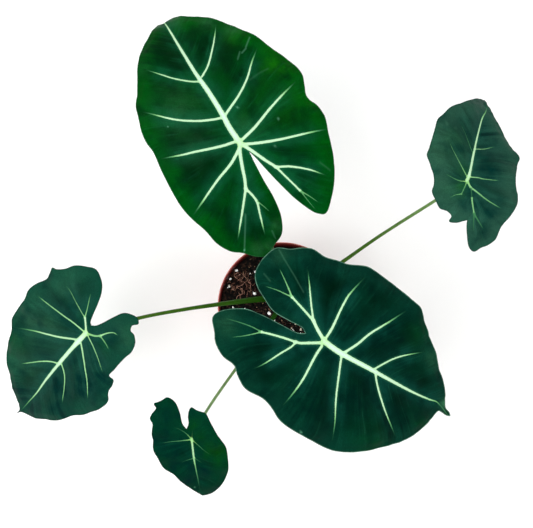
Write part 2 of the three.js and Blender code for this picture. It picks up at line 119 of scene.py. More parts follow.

# Each leaf: where the blade joins its stalk, its heading and pitch there, how it arches along the
# midrib (degrees per mm behind the joint and ahead of it), its curl at the tip (from where, degrees
# per mm), its fold and droop across the midrib, the twist along it, the wave of its margin (height,
# length), how its main and its weak veins fade, and the mesh's spacing. Edges and veins are points
# (along, across) in mm from the joint. Both edges run from the tip round the lobe to the notch.
# The midrib is (along, width, brightness) and the spine is its centre line. A vein has its width at
# the root, its brightness, its place in the fan of veins, and its points from root to fine end.
# A mark is a thin pale scuff or fold: its width, its strength and its points. The warm, pale and dim
# patches are (along, across, radius, strength).
# The pale patches are partly painted sheen and light, and the dim ones partly painted shade.
LEAVES = {}
LEAVES["a"] = {
    "joint": (-36, 104, 325), "heading": 119.7, "pitch": 6, "bend": (0.14, 0.14), "curl": (126, 2.7),
    "fold": 8, "droop": 0.22, "twist": 0, "wave": (2.0, 52), "half_width": 72, "fade": 0.66, "faint": 0.5,
    "grid": 1.4,
    "left": [
        (153, 0), (147, 4), (139, 9), (130, 17.4), (120, 29.3), (107, 39.6), (93, 47), (83, 52.5), (75, 58),
        (64, 61), (50, 65), (40, 66), (30, 65), (12, 67), (-8, 68), (-25, 67.3), (-38, 64.5), (-50, 60.5),
        (-63, 57.5), (-74, 51), (-80, 43.3), (-88, 35), (-91.5, 27), (-87, 18), (-82, 8), (-70, 1.4),
        (-54, -1.3), (-36, -1.4), (-20, -2.2), (-10, -3),
    ],
    "right": [
        (153, 0), (147, -4.5), (139, -9.5), (130, -17), (121, -27.5), (109, -39), (98, -45.6), (88, -51.7),
        (76, -58), (62, -63), (48, -69), (34, -73), (24, -73), (16, -70), (7, -67), (-4, -71), (-16, -71),
        (-30, -66), (-44, -61.5), (-62, -53), (-76, -42), (-85, -31), (-81, -24.8), (-76, -21.6),
        (-62, -15.6), (-45, -10.8), (-28, -7), (-16, -4.6), (-10, -3),
    ],
    "midrib": [
        (0, 5.2, 1), (30, 4.6, 1), (60, 4.2, 1), (76, 3.2, 1), (100, 2.6, 1), (124, 1.8, 1),
        (150, 0.7, 0.7),
    ],
    "spine": [(0, 0), (17, 1), (27, 0.3), (53, 0.3), (76, 1.3), (100, 1), (124, 0.4), (151, -0.4)],
    "veins": [
        (1.8, 0.9, 66, [(65, 1), (70, 9), (78, 18), (88, 26), (100, 35.5)]),
        (1.9, 1.0, 69, [(69, -2), (74, -10), (87, -22), (98, -30), (106, -35)]),
        (2.3, 1.0, 26, [(27, 2), (29.5, 10), (35, 22), (42.5, 33), (51.5, 43), (65, 55.5)]),
        (2.3, 1.0, 30, [(28, -2), (31, -8), (37.5, -21), (46, -32.5), (57, -43), (65.5, -52.8)]),
        (2.7, 1.0, 0, [(2, -3), (5.5, -17), (12.5, -34.5), (18.5, -52), (22.5, -65)]),
        (2.6, 1.0, 0, [(3, 2), (5, 14), (11, 34), (14.5, 45.5), (21, 62)]),
        (2.7, 1.0, -26, [(-2, -2), (-8, -14), (-14, -29.5), (-20, -49.5), (-25.5, -67)]),
        (2.7, 1.0, -26, [(-3, 2), (-11.5, 15), (-17.5, 29.5), (-25.5, 46), (-33.5, 62)]),
        (3.2, 1.0, -58, [(-1, 1), (-5.5, 3.5), (-17, 8), (-27.5, 11.5), (-35.5, 15)]),
        (2.2, 1.0, -52, [(-35.5, 15), (-46.5, 23.5), (-69, 41.5)]),
        (2.2, 1.0, -66, [(-35.5, 15), (-48, 12.5), (-60, 15.7), (-76, 20.3)]),
        (1.1, 0.5, -72, [(-48, 12.5), (-57, 9), (-62, 7.5)]),
        (3.0, 1.0, -58, [(-2, -1), (-8.7, -4.4), (-22.7, -10.5), (-32.3, -15.3)]),
        (2.0, 1.0, -52, [(-32.3, -15.3), (-37.7, -25.3), (-48, -38), (-58, -47)]),
        (1.9, 1.0, -66, [(-32.3, -15.3), (-41, -17.6), (-58.6, -22.5)]),
        (1.1, 0.55, -66, [(-58.6, -22.5), (-66.8, -27), (-75.2, -31)]),
        (1.0, 0.45, -76, [(-58.6, -22.5), (-71.4, -24.4), (-80, -26)]),
    ],
    "marks": [
        (0.7, 0.16, [(77.7, -52.8), (71, -45.4)]), (0.6, 0.14, [(70, -45), (68, -40)]),
        (0.6, 0.11, [(69.6, -39), (65, -34.5)]), (1.4, 0.04, [(43.8, -34), (44.7, -43), (44.3, -51.3)]),
        (0.5, 0.12, [(-54.4, 26), (-78.5, 40.7), (-84, 44.5)]), (1.0, 0.5, [(-78.5, 40.8), (-78.9, 40.8)]),
        (0.6, 0.07, [(-76, 13.7), (-82, 14.4)]), (0.9, 0.3, [(27.7, -13.3), (28.1, -13.3)]),
        (0.9, 0.25, [(42.1, 44.2), (42.5, 44.2)]), (1.4, 0.2, [(1.1, -36.9), (1.5, -36.9)]),
        (1.0, 0.2, [(-17, -23.3), (-16.6, -23.3)]), (1.0, 0.05, [(-47, -48), (-56, -52)]),
    ],
    "warm": [
        (46, -55, 8, 0.85), (38, -63, 9, 0.5), (58, -61, 9, 0.35), (86, -41, 10, 0.3), (2, -67, 8, 0.4),
        (14, -48, 26, 0.28),
    ],
    # The first five pale patches, near the tip, are painted sheen where the margin curls down
    "pale": [
        (129, -10, 7, 0.2), (112, -30, 8, 0.2), (94, -44, 7, 0.16), (118, 27, 8, 0.08), (103, 36, 8, 0.06),
        (-84, 31, 6, 0.2), (-87, 21, 5, 0.25), (-76, 7, 6, 0.2), (48, 30, 22, 0.1), (18, 34, 18, 0.08),
        (10, -10, 12, 0.08),
    ],
    "dim": [
        (108, 16, 20, 0.6), (92, -18, 18, 0.55), (20, -44, 20, 0.3), (52, -26, 9, 0.5), (22, 42, 9, 0.3),
    ],
}
LEAVES["b"] = {
    "joint": (30, -62, 362), "heading": -27.9, "pitch": 12, "bend": (0.2, 0.2), "curl": (112, 1), "fold": 8,
    "droop": 0.25, "twist": 0, "wave": (2.0, 48), "half_width": 72, "fade": 0.5, "faint": 0.6, "grid": 1.4,
    "left": [
        (132, 0.6), (128, 2.7), (120.5, 4.5), (113, 12.8), (105, 21), (95, 28), (86, 38), (75, 45.6),
        (65, 54), (57, 61), (48, 63), (28, 66.5), (12, 68), (2, 68), (-10, 63), (-20, 61), (-32, 58.5),
        (-41, 59.4), (-47, 57.5), (-57, 51), (-67, 46.5), (-72, 35), (-72, 21), (-66, 13), (-57, 7.3),
        (-46, 1.8), (-32, 1), (-20, 1), (-16, -1.5),
    ],
    "right": [
        (132, 0.6), (127, -1), (120, -0.9), (115.6, -1.9), (112.4, -9.6), (107.4, -22), (98, -36.2),
        (86, -47.3), (72, -58), (58, -67), (46, -71.2), (27, -72.3), (8, -72), (-2, -70), (-12, -64.9),
        (-21, -62), (-37, -61.5), (-47, -55.2), (-53, -49.8), (-64, -47.6), (-74, -40.8), (-78, -34.6),
        (-84.8, -25.2), (-84, -20), (-77, -13.2), (-66, -7), (-52, -5), (-35, -4.6), (-21, -4), (-16, -1.5),
    ],
    "midrib": [
        (0, 4.8, 1), (17, 4.8, 1), (24, 4.1, 1), (44, 3.9, 1), (53, 3.2, 1), (73, 2.5, 1), (93, 1.7, 1),
        (103, 1.4, 0.8), (110, 1, 0.5), (115, 1, 0.2), (121, 1.3, 0.24), (129, 0.7, 0.2),
    ],
    "spine": [(0, 0), (15, -1.6), (43, -1), (83, 0.3), (103, 2.6), (110, 4), (115, 3), (128, 0)],
    "veins": [
        (3.1, 1.0, -34, [(0, 0.5), (-9.5, 6), (-15, 10)]),
        (1.7, 1.0, -28, [(-15, 10), (-22, 19.5), (-30.5, 32.5), (-37.5, 43)]),
        (2.1, 0.95, -48, [(-15, 10), (-24, 13.3), (-38.3, 18.3)]),
        (1.4, 0.68, -44, [(-38.3, 18.3), (-45.4, 24.2), (-58, 34)]),
        (1.2, 0.58, -58, [(-38.3, 18.3), (-44, 18), (-51.3, 17.5), (-62, 15.7)]),
        (2.6, 0.95, -34, [(-1.5, -2), (-9.3, -6.5), (-16.2, -10.3), (-19.3, -11.1)]),
        (2.0, 0.95, -50, [(-19.3, -11.1), (-30.5, -13.2), (-46.4, -17)]),
        (1.2, 0.4, -58, [(-46.4, -17), (-53.7, -17), (-62, -18), (-78, -21.2)]),
        (1.2, 0.55, -46, [(-46.4, -17), (-50.7, -21), (-57.4, -26.5), (-66, -32.5)]),
        (1.7, 0.95, -28, [(-19.3, -11.1), (-20.6, -15.5), (-26, -25), (-34.2, -39.4), (-38.5, -45)]),
        (2.2, 1.0, -8, [(0, -4), (-1, -13), (-1.2, -34.5), (-3, -48.5), (-5, -58.6)]),
        (1.9, 1.0, 17, [(17.5, -3.5), (22, -16.7), (29.3, -35.6), (36, -48), (43.3, -63.8)]),
        (1.9, 1.0, 49, [(48.5, -1.5), (52.8, -7.4), (62.5, -17.3), (74.5, -27), (88.7, -36.8)]),
        (1.7, 0.95, 48, [(46.6, 1), (50.6, 7.5), (56, 15), (63.4, 22.3), (77, 32.5)]),
        (2.2, 1.0, 21, [(18.6, 0.6), (24, 10.7), (29.2, 23), (39, 39.4), (46.5, 52.5)]),
        (2.2, 1.0, -8, [(0, 3), (0.4, 12), (-0.6, 31), (-0.2, 41), (4.2, 58.7)]),
    ],
    "marks": [
        (0.3, 0.08, [(-64.3, 46.3), (-57.5, 41.7), (-43.5, 33), (-32.7, 26)]),
        (0.5, 0.05, [(-65.7, 24), (-59, 21.3)]), (1.0, 0.3, [(16.6, -70.4), (17, -70.4)]),
    ],
    "warm": [(104, -17, 9, 0.6), (71, -52, 16, 0.5), (65, 43, 12, 0.5), (126, 0, 5, 0.9)],
    "pale": [(117, 6.2, 3.6, 0.5), (88, 33, 8, 0.15), (-62, 43, 7, 0.1), (-74, -24, 10, 0.1)],
    "dim": [
        (8, 19, 14, 0.6), (40, 28, 18, 0.6), (40, -30, 18, 0.6), (82, -26, 14, 0.6), (-28, 50, 16, 0.4),
        (10, -50, 22, 0.5), (-45, -40, 14, 0.4),
    ],
}
LEAVES["c"] = {
    "joint": (-166, -44, 262), "heading": 225.8, "pitch": 28, "bend": (0.2, 0.18), "curl": (105, 0.8),
    "fold": 8, "droop": 0.25, "twist": 0, "wave": (1.8, 36), "half_width": 56, "fade": 0.45, "faint": 0.3,
    "grid": 1.2,
    "left": [
        (120, -5.5), (112, -2.4), (109, 3.5), (103, 12), (95, 19), (87, 27), (77, 32.4), (68, 36.5),
        (60, 43), (51, 47), (42, 51), (31, 52.2), (24.5, 47), (17, 46), (12, 44), (12, 39), (4, 39),
        (-9, 39), (-18, 40), (-27, 37), (-31, 32), (-31, 28), (-35, 26), (-40, 29), (-43, 25), (-41, 18),
        (-37, 13), (-28, 9), (-17, 5), (-10.5, 1.5), (-8.7, -0.8),
    ],
    "right": [
        (120, -5.5), (110.5, -5.3), (103, -12), (96, -20), (86, -29), (78, -38), (69, -45), (57, -48),
        (48, -51.6), (40, -58), (31, -59), (16, -58.8), (9, -61.5), (0, -60), (-11, -55.5), (-19, -56.6),
        (-22.6, -57.6), (-24, -54), (-29, -49), (-37, -44.5), (-44, -36), (-48, -28), (-45, -20),
        (-38, -13), (-28, -8.5), (-16, -5), (-10.5, -3), (-8.7, -0.8),
    ],
    "midrib": [
        (0, 4.4, 1), (12, 4.8, 1), (19, 3.5, 1), (37, 3.4, 1), (44, 2.6, 1), (57, 2.3, 1), (64, 1.9, 1),
        (80, 1.3, 0.85), (90, 1.1, 0.6), (101, 0.9, 0.35), (112, 0.5, 0.1),
    ],
    "spine": [(0, 0), (24, -1), (64, -1.6), (80, -1.2), (95, -2.2), (112, -3.6), (116, -4.6)],
    "veins": [
        (1.9, 1.0, -24, [(-1, -0.5), (-7.5, -6.3), (-10.2, -9)]),
        (0.9, 0.68, -20, [(-10.2, -9), (-15, -23), (-19, -34), (-19.5, -40)]),
        (1.1, 0.65, -34, [(-10.2, -9), (-16.5, -11.8), (-30.5, -19)]),
        (1.5, 0.8, -8, [(0, -2), (0.5, -12), (3.5, -33), (6.5, -54)]),
        (1.9, 0.9, 10, [(10, -2), (19.5, -15), (30, -31), (44.5, -50.5)]),
        (1.5, 0.8, 41, [(40.5, -1.5), (44, -7.5), (50, -14), (69, -28)]),
        (1.9, 0.62, -22, [(-0.5, 1), (-4.5, 7.7), (-8, 11)]),
        (1.4, 0.8, -30, [(-8, 11), (-14.2, 14), (-19, 18.3), (-20, 23)]),
        (1.2, 0.6, -16, [(-8, 11), (-7, 18.5), (-5, 24.6)]),
        (1.2, 0.75, -6, [(0, 2), (5, 16), (9, 24.3), (15, 34)]),
        (1.6, 0.85, 10, [(10, 2.3), (19.7, 14.3), (32.4, 28.6), (44.5, 39)]),
        (1.5, 0.75, 39, [(38.5, 0), (41.3, 5.3), (47.4, 11.7), (67.6, 23)]),
    ],
    "marks": [],
    "warm": [(56, -46, 14, 0.4), (-9, -7, 8, 0.5), (-4, 20, 6, 0.4)],
    "pale": [(22, -36, 26, 0.12), (66, -26, 22, 0.1), (-20, -40, 16, 0.08), (-26, 30, 12, 0.12)],
    "dim": [
        (37, -20, 12, 0.5), (56, 12, 13, 0.7), (37, 26, 13, 0.7), (20, 36, 12, 0.6), (93, -13, 12, 0.6),
        (98, 6, 14, 0.5), (74, 24, 14, 0.6), (12, 22, 10, 0.4), (-6, -32, 14, 0.3),
    ],
}
LEAVES["d"] = {
    "joint": (157, 88, 255), "heading": 75.2, "pitch": 16, "bend": (0.2, 0.2), "curl": (70, 0.8),
    "fold": 12, "droop": 0.35, "twist": 0.3, "wave": (1.6, 32), "half_width": 43, "fade": 0.3,
    "faint": 0.45, "grid": 1.1,
    "left": [
        (100.3, -1), (96.5, 2.8), (88, 9), (80, 15), (69, 24), (60, 32), (52, 36), (46, 39), (32, 39),
        (18, 39), (11, 39.3), (4, 35), (-5, 29), (-12, 27), (-19, 27), (-26, 22), (-32, 17), (-33, 10),
        (-36, 6), (-41, 7), (-41, 1), (-37, -8),
    ],
    "right": [
        (100.3, -1), (96.5, -2.8), (92, -4.4), (89, -8), (80, -12), (67, -20), (55, -27), (46, -34),
        (39, -41), (33, -40.4), (20, -40), (8, -41), (-4, -45), (-14, -46), (-26, -43), (-37, -38),
        (-51, -35.7), (-57, -31), (-60, -26), (-64, -21), (-61, -16), (-50, -11), (-43, -9), (-37, -8),
    ],
    "midrib": [
        (0, 3.2, 0.9), (5, 3.0, 1), (11, 2.2, 1), (26, 2.1, 1), (36, 1.7, 0.95), (53, 1.4, 0.95),
        (65, 1.3, 0.9), (75, 1.2, 0.65), (82, 1, 0.4), (92, 0.5, 0.15),
    ],
    "spine": [(0, 0), (5, -0.8), (31, -0.6), (59, -1), (71, -1.9), (82, -4), (90, -4), (97, -1)],
    "veins": [
        (1.0, 0.6, 12, [(4, 1.2), (10.5, 7), (17.4, 13), (24, 19.2), (31, 25.3)]),
        (1.0, 0.45, -6, [(-1.4, 1.5), (-2.3, 6), (-2.2, 10.5), (-0.5, 20.6)]),
        (1.2, 0.38, -26, [(-2, 0), (-6, 0.5), (-13.9, 2)]),
        (1.0, 0.5, -26, [(-13.9, 2), (-16.4, 6.8), (-21, 11.5)]),
        (1.7, 0.7, -22, [(-1, -1), (-5.8, -4.3), (-9, -9.7), (-16.7, -22.3), (-22.4, -35.4)]),
        (1.2, 0.2, -40, [(-5.8, -4.3), (-10.3, -6), (-16, -7.6)]),
        (1.5, 0.6, -40, [(-16, -7.6), (-20.6, -9), (-30, -12.5)]),
        (1.6, 0.3, -36, [(-30, -12.5), (-35.4, -17), (-43.7, -24.3)]),
        (1.4, 0.25, -50, [(-30, -12.5), (-37, -13.8), (-48.7, -16.4)]),
        (1.3, 0.7, -2, [(3.6, -1), (4.5, -9), (4.2, -13), (6.7, -28.3)]),
        (1.0, 0.75, 34, [(33.2, -0.6), (35.5, -8), (42, -17.7)]),
        (1.0, 0.3, 31, [(28.6, 0.5), (39.4, 8.5), (52, 19)]),
    ],
    "marks": [(3, 0.04, [(42.8, 30.5), (43.2, 30.5)]), (3, 0.03, [(42.8, 22), (43.2, 22)])],
    "warm": [(8, 4, 6, 0.4), (-7, 4, 6, 0.5), (-14, 2, 5, 0.4)],
    # Painted light on the left half, which faces the lamps, and painted shade of the fold and twist on the
    # right half and over the curled tip
    "pale": [(25, 22, 20, 0.2), (-12, 14, 12, 0.15)],
    "dim": [
        (97, 3, 8, 0.4), (52, -7, 15, 0.5), (15, -17, 14, 0.5), (30, -28, 14, 0.3), (-22, -14, 9, 0.5),
        (-32, -24, 13, 0.5), (-48, -26, 10, 0.35), (42, 10, 9, 0.35),
    ],
}
LEAVES["e"] = {
    "joint": (-79, -130, 215), "heading": 277.3, "pitch": 25, "bend": (0.25, 0.3), "curl": (50, 0.8),
    "fold": 10, "droop": 0.35, "twist": 0, "wave": (1.2, 24), "half_width": 32, "fade": 0.3, "faint": 0.7,
    "grid": 0.9,
    "left": [
        (59, 2), (57, 9), (51, 17), (42, 24), (32, 28), (20, 29), (9.5, 28.2), (-3, 22), (-14, 18),
        (-22, 15), (-25, 8), (-28, 3), (-21, -0.5), (-14, -1), (-10, -3.3),
    ],
    "right": [
        (59, 2), (54, -2), (47, -8), (38, -15), (30, -20), (24, -27), (13, -31), (4, -34), (-4, -33),
        (-9, -33.4), (-14.5, -32.4), (-18.5, -31.4), (-23, -33), (-27, -31), (-32, -26.6), (-34.6, -27.8),
        (-36.6, -27.6), (-37, -25), (-38, -21), (-40, -16), (-35, -10), (-25, -7), (-15, -6), (-10, -3.3),
    ],
    "midrib": [
        (0, 2.4, 0.8), (6, 1.7, 0.9), (15, 1.8, 0.85), (19, 1.6, 0.8), (27, 1.3, 0.5), (38, 1.1, 0.28),
        (45, 0.8, 0.15), (56, 0.3, 0.05),
    ],
    "spine": [(0, 0), (19, -0.4), (27, -0.1), (38, 0.4), (51, 1), (56, 1.5)],
    "veins": [
        (1.1, 0.45, -4, [(0.5, -1), (0, -9), (-0.5, -20.5), (0.3, -27.5)]),
        (1.0, 0.3, -18, [(-0.9, -0.8), (-6.2, -4.5), (-11.4, -10.3), (-13.8, -16)]),
        (0.8, 0.34, 18, [(18.2, -0.7), (19.3, -9.2), (21, -13)]),
        (0.8, 0.28, 19, [(18.3, 0), (24.7, 7.7)]),
        (0.8, 0.38, 8, [(1.2, 0.7), (12.3, 10.2), (18.5, 17)]),
        (0.8, 0.1, -12, [(-1.6, 0.6), (-7, 1.8), (-18, 7)]),
    ],
    "marks": [(0.8, 0.22, [(47.3, -3.5), (47.7, -3.5)])],
    "warm": [(15, 21, 14, 0.8), (-13, 3, 7, 0.6), (-4, 8, 7, 0.5), (4, 2, 5, 0.4)],
    "pale": [],
    "dim": [(40, -8, 12, 0.5), (30, 8, 9, 0.5), (6, -14, 12, 0.4), (-24, -20, 10, 0.4)],
}


# Curves and fields

def respace(line, spacing):
    """The same polyline with points at even distances, ends included."""
    steps = np.linalg.norm(np.diff(line, axis=0), axis=1)
    reach = np.concatenate([[0], np.cumsum(steps)])
    count = max(2, int(round(reach[-1] / spacing)) + 1)
    even = np.linspace(0, reach[-1], count)
    return np.stack([np.interp(even, reach, line[:, k]) for k in range(line.shape[1])], 1)


def smooth(points, spacing, steps=12):
    """A smooth curve through the points, with even spacing and no loops where they stand unevenly."""
    p = np.asarray(points, float)
    p = np.concatenate([[2 * p[0] - p[1]], p, [2 * p[-1] - p[-2]]])
    t = np.linspace(0, 1, steps + 1)[:-1, None]
    pieces = []
    for p0, p1, p2, p3 in zip(p, p[1:], p[2:], p[3:]):
        a, b, c = (np.linalg.norm(v) ** 0.5 for v in (p1 - p0, p2 - p1, p3 - p2))
        start = ((p1 - p0) / a - (p2 - p0) / (a + b) + (p2 - p1) / b) * b
        end = ((p2 - p1) / b - (p3 - p1) / (b + c) + (p3 - p2) / c) * b
        pieces.append((2 * t**3 - 3 * t**2 + 1) * p1 + (t**3 - 2 * t**2 + t) * start
                      + (3 * t**2 - 2 * t**3) * p2 + (t**3 - t**2) * end)
    pieces.append(p[-2:-1])
    return respace(np.concatenate(pieces), spacing)


def nearest_on(line, points):
    """Distance from each point to a polyline, and how far along the line, 0 to 1, the nearest place is."""
    best = np.full(len(points), np.inf)
    place = np.zeros(len(points))
    last = len(line) - 1
    for k in range(last):
        step = line[k + 1] - line[k]
        t = np.clip((points - line[k]) @ step / (step @ step), 0, 1)
        away = np.linalg.norm(points - line[k] - t[:, None] * step, axis=1)
        closer = away < best
        best[closer] = away[closer]
        place[closer] = (k + t[closer]) / last
    return best, place


def blend_min(first, second, reach):
    """The smaller of two distances, rounded off where they are within reach of each other."""
    overlap = np.clip(reach - np.abs(first - second), 0, None)
    return np.minimum(first, second) - overlap**2 / (4 * reach)


def bell(distance, reach):
    """1 at no distance, and falling smoothly to nothing past about twice the reach."""
    return np.exp(-((distance / reach) ** 2))


def spread(known, values, edges, rounds=400, close=1e-4):
    """Fills a field smoothly over a mesh from the vertices where it is known, by conjugate gradients."""
    free = ~known
    degree = np.bincount(edges.ravel(), minlength=len(values)).astype(float)

    def neighbours(x):
        total = np.bincount(edges[:, 0], x[edges[:, 1]], len(x))
        return total + np.bincount(edges[:, 1], x[edges[:, 0]], len(x))

    fixed = np.where(known, values, 0.0)
    residual = np.where(free, neighbours(fixed), 0.0)
    x = np.zeros(len(values))
    direction = residual.copy()
    power = residual @ residual
    for _ in range(rounds):
        if power < close:
            break
        step = np.where(free, degree * direction - neighbours(direction), 0.0)
        size = power / (direction @ step)
        x += size * direction
        residual -= size * step
        renewed = residual @ residual
        direction = residual + renewed / power * direction
        power = renewed
    return x + fixed


def noise_at(points, size, seed=0.0, octaves=3):
    """Smooth noise of about -1 to 1 at each point, with features of about this size."""
    flat = np.zeros((len(points), 3))
    flat[:, :points.shape[1]] = points
    return np.array([noise.fractal(Vector(p) / size + Vector((seed, 0, 0)), 1.0, 2.0, octaves) for p in flat])


# Meshes

def add_object(name, data):
    made = bpy.data.objects.new(name, data)
    bpy.context.scene.collection.objects.link(made)
    return made


def add_piece(name, points, faces, paints, slot, nodes=(), shades=None, **fields):
    """A smooth-shaded piece on the plant's body, from points in mm, with its own per-vertex fields.

    The slot is not used. It is shown in place of the nodes.
    """
    mesh = bpy.data.meshes.new(name)
    mesh.from_pydata((np.asarray(points, float) * MM).tolist(), [], faces)
    for paint in paints:
        mesh.materials.append(paint)
    mesh.polygons.foreach_set("use_smooth", [True] * len(mesh.polygons))
    if shades is not None:
        mesh.polygons.foreach_set("material_index", shades)
    for key, values in fields.items():
        layer = mesh.attributes.new(key, "FLOAT", "POINT")
        layer.data.foreach_set("value", np.asarray(values, np.float32))
    mesh.validate()
    mesh.update()
    piece = add_object(name, mesh)
    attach(piece, "root")
    if nodes:
        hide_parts(*nodes)
    return piece


def round_turn(sides):
    """Even angles once round."""
    return np.arange(sides) * 2 * math.pi / sides


def skin(rings):
    """A closed mesh over a stack of rings, each end drawn together to a point in its middle."""
    count, sides = rings.shape[:2]
    points = np.concatenate([rings.reshape(-1, 3), [rings[0].mean(0), rings[-1].mean(0)]])
    here = np.arange(sides)
    after = (here + 1) % sides
    bottom, top, last = count * sides, count * sides + 1, (count - 1) * sides
    faces = []
    for low in range(0, last, sides):
        high = low + sides
        faces += np.stack([low + here, low + after, high + after, high + here], 1).tolist()
    faces += [(k, j, bottom) for j, k in zip(here.tolist(), after.tolist())]
    faces += [(last + j, last + k, top) for j, k in zip(here.tolist(), after.tolist())]
    return points, faces


def merge(parts):
    """Several (points, faces) as one, and which part each point belongs to."""
    points, faces, owner = [], [], []
    start = 0
    for i, (some, their) in enumerate(parts):
        points.append(some)
        faces += [tuple(start + k for k in face) for face in their]
        owner += [i] * len(some)
        start += len(some)
    return np.concatenate(points), faces, np.array(owner)


def lathe(profile, sides, centre=(0, 0)):
    """A closed mesh turned from a profile of (radius, height) that starts and ends on the axis."""
    turn = round_turn(sides)
    inner = np.asarray(profile)[1:-1]
    x = centre[0] + inner[:, :1] * np.cos(turn)
    y = centre[1] + inner[:, :1] * np.sin(turn)
    return skin(np.stack([x, y, np.broadcast_to(inner[:, 1:], x.shape)], -1))


def rounded(profile, radius, spacing, share=0.45):
    """The profile with each corner turned into a short curve and each long stretch divided.

    A curve takes up no more than this share of the sides that meet in its corner.
    """
    p = np.asarray(profile, float)
    corners = [p[:1]]
    t = np.linspace(0, 1, 4)[:, None]
    for before, corner, after in zip(p, p[1:], p[2:]):
        back, ahead = before - corner, after - corner
        long_back, long_ahead = np.linalg.norm(back), np.linalg.norm(ahead)
        reach = min(radius, share * long_back, share * long_ahead)
        start, end = corner + back / long_back * reach, corner + ahead / long_ahead * reach
        corners.append((1 - t) ** 2 * start + 2 * t * (1 - t) * corner + t**2 * end)
    corners.append(p[-1:])
    points = [p[:1]]
    for first, second in zip(corners, corners[1:]):
        stretch = respace(np.stack([first[-1], second[0]]), spacing)
        points += [stretch[1:-1], second]
    return np.concatenate(points)


def tube(line, radius, sides, first=(0, 0, 1)):
    """A closed tube along a line. The radius has one row for each point, of one or all its sides."""
    ahead = np.gradient(line, axis=0)
    ahead /= np.linalg.norm(ahead, axis=1, keepdims=True)
    side = np.asarray(first, float)
    across = []
    for way in ahead:
        side = side - way * (side @ way)
        side = side / np.linalg.norm(side)
        across.append(side)
    across = np.array(across)
    over = np.cross(ahead, across)
    turn = round_turn(sides)[:, None]
    reach = np.broadcast_to(np.reshape(radius, (len(line), -1)), (len(line), sides))[..., None]
    return skin(line[:, None] + reach * (np.cos(turn) * across[:, None] + np.sin(turn) * over[:, None]))


def ball(detail):
    """Points and triangles of a unit sphere."""
    shape = bmesh.new()
    bmesh.ops.create_icosphere(shape, subdivisions=detail, radius=1)
    points = np.array([vertex.co[:] for vertex in shape.verts])
    faces = [tuple(vertex.index for vertex in face.verts) for face in shape.faces]
    shape.free()
    return points, faces


def turned(points, about_x, about_z):
    """Points turned about the x axis and then about the z axis, in radians."""
    x, y, z = points.T
    y, z = y * math.cos(about_x) - z * math.sin(about_x), y * math.sin(about_x) + z * math.cos(about_x)
    x, y = x * math.cos(about_z) - y * math.sin(about_z), x * math.sin(about_z) + y * math.cos(about_z)
    return np.stack([x, y, z], 1)


# Materials

def srgb(red, green, blue):
    """A colour given as screen values 0 to 255."""
    def linear(v):
        v /= 255
        return v / 12.92 if v <= 0.04045 else ((v + 0.055) / 1.055) ** 2.4
    return (linear(red), linear(green), linear(blue), 1.0)


class Value:
    """A value in a paint's node tree. Sums with it add the nodes that work them out."""

    def __init__(self, paint, socket):
        self.paint = paint
        self.socket = socket

    def __add__(self, other):
        return self.paint.math("ADD", self, other)

    def __sub__(self, other):
        return self.paint.math("SUBTRACT", self, other)

    def __mul__(self, other):
        return self.paint.math("MULTIPLY", self, other)

    def __pow__(self, other):
        return self.paint.math("POWER", self, other)

    def ramp(self, low, high, start=0.0, end=1.0):
        """Runs smoothly from start to end while this value goes from low to high."""
        keys = {"Value": self, "From Min": low, "From Max": high, "To Min": start, "To Max": end}
        return self.paint.node("MapRange", keys, interpolation_type="SMOOTHSTEP")

    def stops(self, *colours):
        """A colour that runs through (place, colour) pairs as this value goes from 0 to 1."""
        made = self.paint.node("ValToRGB", {"Fac": self})
        elements = made.socket.node.color_ramp.elements
        elements[0].position, elements[0].color = colours[0]
        elements[1].position, elements[1].color = colours[-1]
        for place, colour in colours[1:-1]:
            elements.new(place).color = colour
        return made


class Paint:
    """A node material and shorthand for the nodes that feed it. Sizes and depths are in mm."""

    def __init__(self, name, **constants):
        self.material = bpy.data.materials.new(name)
        self.material.use_nodes = True
        self.tree = self.material.node_tree
        self.shader = self.tree.nodes["Principled BSDF"]
        self.surface(**constants)
        self.place = self.node("TexCoord", {}, "Object")

    def node(self, kind, inputs, output=0, **settings):
        """Adds a node, feeds its inputs and gives one of its outputs."""
        node = self.tree.nodes.new("ShaderNode" + kind)
        for key, value in settings.items():
            setattr(node, key, value)
        for key, value in inputs.items():
            self.feed(node.inputs[key], value)
        return Value(self, node.outputs[output])

    def feed(self, socket, value):
        if isinstance(value, Value):
            self.tree.links.new(value.socket, socket)
        else:
            socket.default_value = value

    def surface(self, **inputs):
        """Feeds the shader. A number is set on the shader's own socket."""
        for key, value in inputs.items():
            self.feed(self.shader.inputs[key.replace("_", " ")], value)
        return self.material

    def field(self, name):
        """A per-vertex value of the mesh."""
        return self.node("Attribute", {}, "Fac", attribute_name=name)

    def math(self, operation, first, second):
        return self.node("Math", {0: first, 1: second}, operation=operation)

    def noise(self, size, detail=3.0, roughness=0.55):
        """Noise with features of about this size."""
        keys = {"Vector": self.place, "Scale": 1 / (size * MM), "Detail": detail, "Roughness": roughness}
        return self.node("TexNoise", keys)

    def streaks(self, x, y=0.0, z=0.0, scale=1.0):
        """Noise over any three values, stretched along those that change slowly."""
        at = self.node("CombineXYZ", {"X": x, "Y": y, "Z": z})
        return self.node("TexNoise", {"Vector": at, "Scale": scale, "Detail": 4.0, "Roughness": 0.7})

    def cells(self, size, output="Distance"):
        return self.node("TexVoronoi", {"Vector": self.place, "Scale": 1 / (size * MM)}, output)

    def mix(self, amount, first, second, mode="MIX"):
        return self.node("Mix", {0: amount, 6: first, 7: second}, 2, data_type="RGBA", blend_type=mode)

    def shade(self, colour, amount):
        """The colour made darker or lighter by a number."""
        grey = self.node("CombineColor", {0: amount, 1: amount, 2: amount})
        return self.mix(1.0, colour, grey, "MULTIPLY")

    def bump(self, height, depth, strength=1.0, **below):
        """Relief this deep where the height goes from 0 to 1, over another relief if there is one."""
        return self.node("Bump", {"Height": height, "Distance": depth * MM, "Strength": strength, **below})
